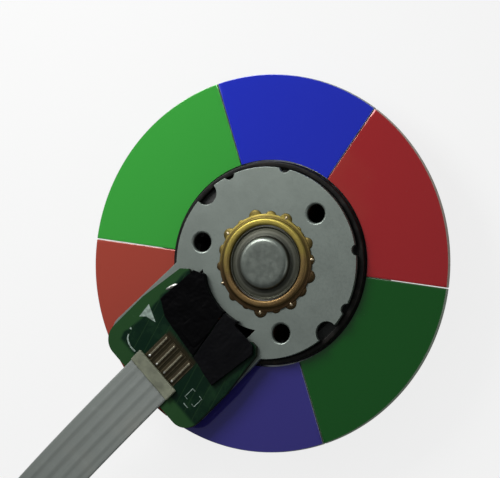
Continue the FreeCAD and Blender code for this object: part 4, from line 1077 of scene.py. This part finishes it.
class ColorwheelStage(ColorwheelStep):
    """Camera, soft lights and a pale floor"""
    bl_idname = "colorwheel.stage"
    bl_label = "Stage"

    def dress(self, scene):
        studio = scene.colorwheel_studio
        glass_low, glass_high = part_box("red_glass_a")
        middle = Vector((0, 0, (glass_low.z + glass_high.z) / 2))
        away = Vector((
            math.cos(studio.elevation) * math.cos(studio.azimuth),
            math.cos(studio.elevation) * math.sin(studio.azimuth),
            math.sin(studio.elevation),
        ))
        level = Vector((-math.sin(studio.azimuth), math.cos(studio.azimuth), 0))
        slope = level.cross(away)
        right = math.cos(studio.roll) * slope + math.sin(studio.roll) * level
        up = math.cos(studio.roll) * level - math.sin(studio.roll) * slope
        self.add_camera(scene, studio, middle, right, up, away)
        for name, power, size, place in (
            ("key", studio.key_power, 0.04, middle + 0.041 * away + 0.055 * up - 0.059 * right),
            ("fill", studio.fill_power, 0.4, middle + 0.36 * away - 0.1 * up + 0.36 * right),
            ("side", studio.side_power, 0.5, middle + 0.2 * away + 0.3 * up - 0.6 * right),
        ):
            self.add_light(scene, name, power, size, place, middle)
        self.add_room(scene, studio, 0.2 * away + 0.93 * up - 0.25 * right)
        self.add_floor(studio)

    def add_camera(self, scene, studio, middle, right, up, away):
        camera = bpy.data.cameras.new("camera")
        camera.lens = camera.sensor_width * studio.distance / studio.view_width
        stand = bpy.data.objects.new("camera", camera)
        scene.collection.objects.link(stand)
        aim = middle - studio.right_of_middle * right + studio.below_middle * up
        turn = Matrix((right, up, away)).transposed().to_4x4()
        stand.matrix_world = Matrix.Translation(aim + studio.distance * away) @ turn
        scene.camera = stand

    def add_light(self, scene, name, power, size, place, target):
        light = bpy.data.lights.new(name, "AREA")
        light.energy = power
        light.size = size
        stand = bpy.data.objects.new(name, light)
        scene.collection.objects.link(stand)
        turn = (place - target).to_track_quat("Z", "Y").to_matrix().to_4x4()
        stand.matrix_world = Matrix.Translation(place) @ turn

    def add_room(self, scene, studio, bright_side):
        """The room's soft light, a little stronger from one side; the camera sees it white."""
        scene.view_settings.view_transform = "Standard"
        world = bpy.data.worlds.new("room")
        world.use_nodes = True
        scene.world = world
        recipe = Recipe(world.node_tree)
        world.node_tree.nodes.clear()
        seen = recipe.node("ShaderNodeLightPath", output="Is Camera Ray")
        toward = recipe.node("ShaderNodeTexCoord", output="Generated")
        share = recipe.node("ShaderNodeVectorMath", {"operation": "DOT_PRODUCT"}, {
            0: toward, 1: bright_side.normalized()}, output="Value")
        room = recipe.over(
            shaded(studio.surroundings, 0.3), shaded(studio.surroundings, 1.2), share, -0.1, 0.9)
        tone = recipe.mix(room, (1, 1, 1), seen)
        light = recipe.node("ShaderNodeBackground", None, {"Color": tone, "Strength": 1.0})
        recipe.node("ShaderNodeOutputWorld", None, {"Surface": light})

    def add_floor(self, studio):
        shape = bmesh.new()
        bmesh.ops.create_grid(shape, x_segments=1, y_segments=1, size=0.9)
        floor = linked("floor", closed("floor", shape))
        floor.data.transform(Matrix.Translation((0, 0, CAD_BOX[0].z - 0.05 * MM)))
        material = bpy.data.materials.new("floor")
        material.use_nodes = True
        recipe = Recipe(material.node_tree)
        material.node_tree.nodes.clear()
        cloud = recipe.node("ShaderNodeTexNoise", None, {"Scale": 30.0, "Detail": 2.0})
        tone = recipe.mix(shaded(studio.floor, 0.97), shaded(studio.floor, 1.03), cloud)
        matt = recipe.node("ShaderNodeBsdfDiffuse", None, {"Color": tone})
        white = recipe.node("ShaderNodeEmission", None, {"Color": (1, 1, 1, 1), "Strength": 1.0})
        seen = recipe.node("ShaderNodeLightPath", output="Is Camera Ray")
        both = recipe.node("ShaderNodeMixShader", None, {0: seen * 0.82, 1: matt, 2: white})
        recipe.node("ShaderNodeOutputMaterial", None, {"Surface": both})
        floor.data.materials.append(material)


class ColorwheelFinishes(ColorwheelStep):
    """Materials of every surface, and the finish of the CAD nodes that stay"""
    bl_idname = "colorwheel.finishes"
    bl_label = "Finishes"

    def dress(self, scene):
        finishes = make_finishes(scene.colorwheel_glass, scene.colorwheel_board)
        scene["colorwheel_finishes"] = {slot: material.name for slot, material in finishes.items()}
        for row in frame["record"]["subparts"]:
            mesh = frame["nodes"][row["node"]].data
            mesh.materials.clear()
            mesh.materials.append(finishes[row["material_slot"]])


def route_points():
    """Points along the smooth curve that the route's points control."""
    curve = bpy.data.curves.new("ribbon_route", "CURVE")
    curve.dimensions = "3D"
    spline = curve.splines.new("NURBS")
    spline.points.add(len(RIBBON_ROUTE) - 1)
    for point, place in zip(spline.points, RIBBON_ROUTE):
        point.co = (*place, 1)
    spline.order_u = 3
    spline.use_endpoint_u = True
    spline.resolution_u = 40
    guide = linked("ribbon_route", curve)
    evaluated = guide.evaluated_get(bpy.context.evaluated_depsgraph_get())
    line = bpy.data.meshes.new_from_object(evaluated)
    points = [vert.co.copy() for vert in line.vertices]
    bpy.data.objects.remove(guide)
    return points


class ColorwheelRibbon(ColorwheelStep):
    """Flat ribbon cable with four conductors under its jacket"""
    bl_idname = "colorwheel.ribbon"
    bl_label = "Ribbon cable"

    def dress(self, scene):
        board = scene.colorwheel_board
        path = route_points()
        section = self.section(board)
        shape = bmesh.new()
        loops = []
        for place, point in enumerate(path):
            onward = path[min(place + 1, len(path) - 1)] - path[max(place - 1, 0)]
            lift = Vector((1, 0, 0)).cross(onward.normalized())
            lift = lift if lift.z > 0 else -lift
            loops.append([
                shape.verts.new(point + Vector((across, 0, 0)) + lift * up)
                for across, up in section
            ])
        for loop, following in zip(loops, loops[1:]):
            for step in range(len(section)):
                after = (step + 1) % len(section)
                shape.faces.new((loop[step], loop[after], following[after], following[step]))
        shape.faces.new(loops[0])
        shape.faces.new(loops[-1])
        ribbon = linked("ribbon_cable", closed("ribbon_cable", shape, 50))
        dressed(ribbon, "white_ribbon", "motor_base", "ffc_cable")

    def section(self, board):
        """The ribbon's cross-section: a thin web that swells over each conductor."""
        half = board.ribbon_width / 2
        steps = 64
        web, swell = 0.34, 0.16
        rounding = 0.12 * MM
        top = []
        for step in range(steps + 1):
            across = -half + 2 * half * step / steps
            wave = 0.5 + 0.5 * math.cos(2 * math.pi * (across / board.conductor_pitch - 0.5))
            inside = min(1.0, (half - abs(across)) / rounding)
            over_conductors = abs(across) < 2.1 * board.conductor_pitch
            share = web + swell * wave ** 2 if over_conductors else web
            top.append((across, board.ribbon_thickness * share * math.sqrt(max(inside, 0.0))))
        under = [(across, -up) for across, up in reversed(top[1:-1])]
        return top + under


class ColorwheelGlassRing(ColorwheelStep):
    """Six coated glass segments with ground edges"""
    bl_idname = "colorwheel.glass_ring"
    bl_label = "Glass segments"

    def dress(self, scene):
        glass = scene.colorwheel_glass
        seam = glass.seam_gap / glass.disc_radius
        sweeps = {"red": glass.red_angle, "blue": glass.blue_angle}
        sweeps["green"] = math.pi - sum(sweeps.values())
        start = glass.first_seam
        for letter in ("a", "b"):
            for shade in COLOURS:
                node = f"{shade}_glass_{letter}"
                low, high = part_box(node)
                segment = sector_growth(
                    f"{shade}_segment_{letter}", finish_of(f"{shade}_glass"), glass.bore,
                    glass.disc_radius, low.z, high.z, start + seam / 2, sweeps[shade] - seam)
                self.grind(segment, glass)
                dressed(segment, f"{shade}_glass", "wheel", node)
                start += sweeps[shade]

    def grind(self, segment, glass):
        """Chamfers every edge but those at the bore, which the hub's flange guards."""
        shape = bmesh.new()
        shape.from_mesh(segment.data)
        weight = bevel_weights(shape)
        for edge in shape.edges:
            at_bore = all(vert.co.xy.length < glass.bore + 0.05 * MM for vert in edge.verts)
            if is_crease(edge) and not at_bore:
                edge[weight] = 1.0
        shape.to_mesh(segment.data)
        shape.free()
        bevelled(segment, glass.edge, limit="WEIGHT")


class ColorwheelWheel(ColorwheelStep):
    """Hub, rotor can and what sits on them"""
    bl_idname = "colorwheel.wheel"
    bl_label = "Hub and rotor"

    def dress(self, scene):
        motor = scene.colorwheel_motor
        low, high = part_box("rotor_can")
        inside = motor.can_radius - motor.can_wall
        floor = low.z + motor.can_floor
        can = turned("black_can", (
            (motor.shaft_radius, low.z),
            (motor.can_radius, low.z, 0.5 * MM),
            (motor.can_radius, high.z, 0.14 * MM),
            (inside, high.z, 0.14 * MM),
            (inside, floor, 0.3 * MM),
            (motor.shaft_radius, floor),
        ))
        dressed(can, "black_can", "wheel", "rotor_can")
        hub = softened("turned_hub", "hub_carrier")
        dressed(hub, "hub_aluminium", "wheel", "hub_carrier")
        putty = worn("putty_lump", "balance_putty", 0.06 * MM, 0.08 * MM, 0.9 * MM)
        dressed(putty, "putty", "wheel", "balance_putty")


class ColorwheelHousing(ColorwheelStep):
    """Stamped plate, staked brass bush and pressed steel cap"""
    bl_idname = "colorwheel.housing"
    bl_label = "Plate, bush and cap"

    def dress(self, scene):
        motor = scene.colorwheel_motor
        self.add_plate(motor)
        self.add_bush(motor)
        self.add_cap(motor)

    def add_plate(self, motor):
        """Stamped plate, whose punched holes are rounder at their upper edge than the rest."""
        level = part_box("base_plate")[1].z
        shape = plain_form("base_plate")
        bmesh.ops.recalc_face_normals(shape, faces=shape.faces)
        weight = bevel_weights(shape)
        upper = {
            edge for edge in shape.edges
            if is_crease(edge) and all(abs(vert.co.z - level) < 1e-6 for vert in edge.verts)
        }
        for opening in outlines(upper):
            places = [vert.co for edge in opening for vert in edge.verts]
            if max((place - places[0]).length for place in places) < motor.hole_width:
                for edge in opening:
                    edge[weight] = 1.0
        plate = linked("stamped_plate", closed("stamped_plate", shape))
        plate = bevelled(plate, motor.punched_edge, 4, limit="WEIGHT", clamped=False)
        plate = bevelled(plate, BROKEN_EDGE, clamped=False)
        dressed(plate, "plate_steel", "motor_base", "base_plate")

    def add_bush(self, motor):
        """Turned bush with a crowned rim and a collar that was struck down over the plate."""
        low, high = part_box("bearing_housing")
        plate_low, plate_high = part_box("base_plate")
        bore = motor.bush_bore
        core_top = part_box("stator_core")[1].z
        step_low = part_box("lower_outer_race")[1].z
        step_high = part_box("preload_spring")[0].z
        step = bore - motor.step_lip
        outer = bore + motor.bush_wall
        rim = bore + motor.rim_wall + 0.14 * MM
        flange_low = plate_low.z - motor.flange_thickness
        bush = turned("brass_bush", (
            (bore, low.z, 0.06 * MM),
            (outer, low.z, 0.1 * MM),
            (outer, core_top),
            (motor.shoulder_radius, core_top),
            (motor.shoulder_radius, flange_low),
            (motor.flange_radius, flange_low, BROKEN_EDGE),
            (motor.flange_radius, plate_low.z),
            (motor.neck_radius, plate_low.z),
            (motor.neck_radius, plate_high.z),
            (motor.collar_radius, plate_high.z),
            (motor.collar_radius, plate_high.z + 0.18 * MM, 0.08 * MM),
            (rim + 0.16 * MM, plate_high.z + 0.22 * MM, 0.15 * MM),
            (rim, high.z, 0.26 * MM),
            (bore, high.z, 0.22 * MM),
            (bore, step_high),
            (step, step_high),
            (step, step_low),
            (bore, step_low),
        ))
        dressed(bush, "housing_brass", "motor_base", "bearing_housing")
        root = 0.2 * MM
        level = plate_high.z + 0.02 * MM
        for name, first, share, width, seed in (
            ("large_nibs", motor.nib_turn, 1.0, 0.72 * MM, 3),
            ("small_nibs", motor.nib_turn + math.pi / motor.nib_count, 0.6, 0.62 * MM, 4),
        ):
            nibs = nib_growth(
                name, finish_of("housing_brass"), motor.nib_count, first,
                motor.collar_radius - root, root + motor.nib_reach * share, level, 0.12 * MM,
                width, seed)
            dressed(nibs, "housing_brass", "motor_base", slot="housing_brass")
        self.add_tip_highlights(motor, plate_high.z)

    def add_tip_highlights(self, motor, level):
        """Paler brass on the tips of six nibs, as painted highlights."""
        shape = bmesh.new()
        for turn in (-109.3, -49.3, -9.3, 50.7, 110.7, 190.7):
            tip = Matrix.Rotation(math.radians(turn), 4, "Z") @ Matrix.Translation(
                (motor.collar_radius + 0.05 * MM, 0, level + 0.12 * MM))
            size = Matrix.Diagonal((0.24 * MM, 0.15 * MM, 0.1 * MM, 1))
            bmesh.ops.create_icosphere(shape, subdivisions=3, radius=1, matrix=tip @ size)
        tips = linked("rubbed_tips", closed("rubbed_tips", shape, 60))
        dressed(tips, "highlight_brass", "motor_base", slot="housing_brass")

    def add_cap(self, motor):
        """Pressed top-hat cap: a lip at the bush's bore, a dished flange and a soft-edged boss."""
        low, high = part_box("end_cap")
        sheet = motor.cap_sheet
        top = low.z + sheet
        foot = motor.boss_radius + 0.15 * MM
        skirt = motor.bush_bore - 0.1 * MM
        cap = turned("steel_cap", (
            (foot - sheet, low.z),
            (skirt, low.z),
            (skirt, top - 0.02 * MM, 0.05 * MM),
            (motor.lip_radius, top - 0.02 * MM, 0.05 * MM),
            (motor.lip_radius - 0.12 * MM, top - 0.17 * MM, 0.07 * MM),
            (foot, top - 0.06 * MM, 0.12 * MM),
            (motor.boss_radius, high.z, 0.58 * MM),
            (motor.boss_flat, high.z),
            (0, high.z - 0.04 * MM),
            (0, high.z - sheet),
            (motor.boss_radius - sheet, high.z - sheet, 0.1 * MM),
        ))
        dressed(cap, "cap_steel", "motor_base", "end_cap")


class ColorwheelWindings(ColorwheelStep):
    """Wound coils of the stator"""
    bl_idname = "colorwheel.windings"
    bl_label = "Windings"

    def dress(self, scene):
        motor = scene.colorwheel_motor
        low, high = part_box("stator_coils")
        coils = coil_growth(
            "wound_coils", finish_of("copper_wire"), motor.tooth_count, motor.coil_turns,
            motor.wire, motor.coil_start, outer_radius("stator_coils"), motor.coil_half,
            motor.coil_corner, low.z, high.z)
        dressed(coils, "copper_wire", "motor_base", "stator_coils")


class ColorwheelBoardDress(ColorwheelStep):
    """Circuit board with its print, bare conductors, solder and the cream bar"""
    bl_idname = "colorwheel.board_dress"
    bl_label = "Board"

    def dress(self, scene):
        laminate = softened("green_board", "circuit_board")
        dressed(laminate, "green_board", "motor_base", "circuit_board")
        self.add_print()
        self.add_conductors(scene.colorwheel_board)
        self.add_solder("solder_bead", Vector((-5.28, -9.35)) * MM, -108, (0.72, 0.2, 0.16))
        bar = worn("cream_bar", "ffc_stiffener", 0.07 * MM, 0.06 * MM, 0.9 * MM, 3.0)
        dressed(bar, "cream_bar", "motor_base", "ffc_stiffener")

    def add_conductors(self, board):
        low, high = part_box("ffc_conductors")
        strips = strip_growth(
            "bare_conductors", finish_of("crowned_tin"), low, high, board.conductor_width,
            board.conductor_pitch, board.conductor_count)
        dressed(strips, "crowned_tin", "motor_base", "ffc_conductors")
        pads = linked("flux_pads", frame["nodes"]["solder_pads"].data.copy())
        dressed(pads, "flux", "motor_base", "solder_pads")
        for strip in range(board.conductor_count):
            across = low.x + board.conductor_width / 2 + strip * board.conductor_pitch
            place = Vector((across, low.y + 0.3 * MM))
            self.add_solder(f"solder_spot_{strip + 1}", place, 80 + 9 * strip, (0.2, 0.15, 0.2))

    def add_solder(self, name, place, degrees, radii):
        """A drop of solder on the board, flattened and uneven. Its radii are in millimetres."""
        shape = bmesh.new()
        bmesh.ops.create_icosphere(shape, subdivisions=4, radius=1)
        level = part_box("circuit_board")[1].z
        for vert in shape.verts:
            bulge = 1 + 0.18 * noise.noise(vert.co * 1.6 + Vector((place.x / MM, 0, 0)))
            lump = Vector([size * MM * share * bulge for size, share in zip(radii, vert.co)])
            lump.z = max(lump.z, 0)
            lump.rotate(Matrix.Rotation(math.radians(degrees), 3, "Z"))
            vert.co = lump + Vector((*place, level))
        drop = linked(name, closed(name, shape, 60))
        dressed(drop, "solder", "motor_base", slot="tin")

    def add_print(self):
        """Pale printed marks: a curved corner, a dot, two brackets, a dash and a wedge."""
        shape = bmesh.new()
        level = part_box("circuit_board")[1].z
        strokes = (
            (0.16, (-4.95, -16.35), (-4.75, -16.7), (-4.35, -16.95), (-3.8, -17.1), (-3.1, -17.05)),
            (0.2, (-5.28, -15.7), (-5.2, -15.85)),
            (0.07, (4.7, -14.9), (4.3, -14.9), (4.3, -16.1), (4.7, -16.1)),
            (0.07, (5.4, -14.9), (5.8, -14.9), (5.8, -16.1), (5.4, -16.1)),
            (0.09, (4.7, -16.7), (5.4, -16.7)),
        )
        for width, *points in strokes:
            outline = self.stroke([Vector(point) for point in points], width / 2)
            self.add_mark(shape, outline, level)
        self.add_mark(shape, [Vector(corner) for corner in (
            (-5.72, -12.5), (-5.5, -14.2), (-4.95, -13.6), (-3.75, -13.25))], level)
        marks = linked("printed_marks", closed("printed_marks", shape))
        dressed(marks, "silk", "motor_base", slot="white_ribbon")

    def stroke(self, points, half):
        """The outline of a stroke along some points."""
        sides = []
        for place, point in enumerate(points):
            along = points[min(place + 1, len(points) - 1)] - points[max(place - 1, 0)]
            sides.append(Vector((-along.y, along.x)).normalized() * half)
        left = [point + side for point, side in zip(points, sides)]
        right = [point - side for point, side in zip(points, sides)]
        return left + right[::-1]

    def add_mark(self, shape, outline, level):
        """A thin layer of paint with the given outline in millimetres."""
        low, high = (
            [shape.verts.new((*(corner * MM), level + lift)) for corner in outline]
            for lift in (-0.005 * MM, 0.008 * MM)
        )
        shape.faces.new(reversed(low))
        shape.faces.new(high)
        for step, corner in enumerate(low):
            after = (step + 1) % len(low)
            shape.faces.new((corner, low[after], high[after], high[step]))


class ColorwheelTapes(ColorwheelStep):
    """Two pieces of dark tape over the coil leads and the window"""
    bl_idname = "colorwheel.tapes"
    bl_label = "Tapes"

    def dress(self, scene):
        board = scene.colorwheel_board
        for shade, seed in (("black", 0.0), ("grey", 7.0)):
            node = f"lead_cover_{shade}"
            tape = worn(f"{shade}_tape_sheet", node, 0.075 * MM, board.tape_wave, 1.6 * MM, seed)
            dressed(tape, f"{shade}_tape", "motor_base", node)


class ColorwheelPanel(Panel):
    """Lists the steps that dress the color wheel"""
    bl_idname = "VIEW3D_PT_colorwheel"
    bl_label = "Color wheel"
    bl_space_type = "VIEW_3D"
    bl_region_type = "UI"
    bl_category = "Color wheel"

    def draw(self, context):
        for step in STEPS:
            self.layout.operator(step.bl_idname)
        for group in GROUPS:
            sizes = getattr(context.scene, group)
            for name in sizes.__annotations__:
                self.layout.prop(sizes, name)


STEPS = (
    ColorwheelStage,
    ColorwheelFinishes,
    ColorwheelRibbon,
    ColorwheelGlassRing,
    ColorwheelWheel,
    ColorwheelHousing,
    ColorwheelWindings,
    ColorwheelBoardDress,
    ColorwheelTapes,
)
GROUPS = {
    "colorwheel_studio": ColorwheelStudio,
    "colorwheel_glass": ColorwheelGlass,
    "colorwheel_motor": ColorwheelMotor,
    "colorwheel_board": ColorwheelBoard,
}


def register():
    for kind in (*GROUPS.values(), *STEPS, ColorwheelPanel):
        bpy.utils.register_class(kind)
    for name, kind in GROUPS.items():
        setattr(bpy.types.Scene, name, PointerProperty(type=kind))


def unregister():
    for name in GROUPS:
        delattr(bpy.types.Scene, name)
    for kind in (ColorwheelPanel, *reversed(STEPS), *reversed(list(GROUPS.values()))):
        bpy.utils.unregister_class(kind)


def main():
    register()
    for step in STEPS:
        area, action = step.bl_idname.split(".")
        getattr(getattr(bpy.ops, area), action)()


if __name__ == "__main__":
    main()
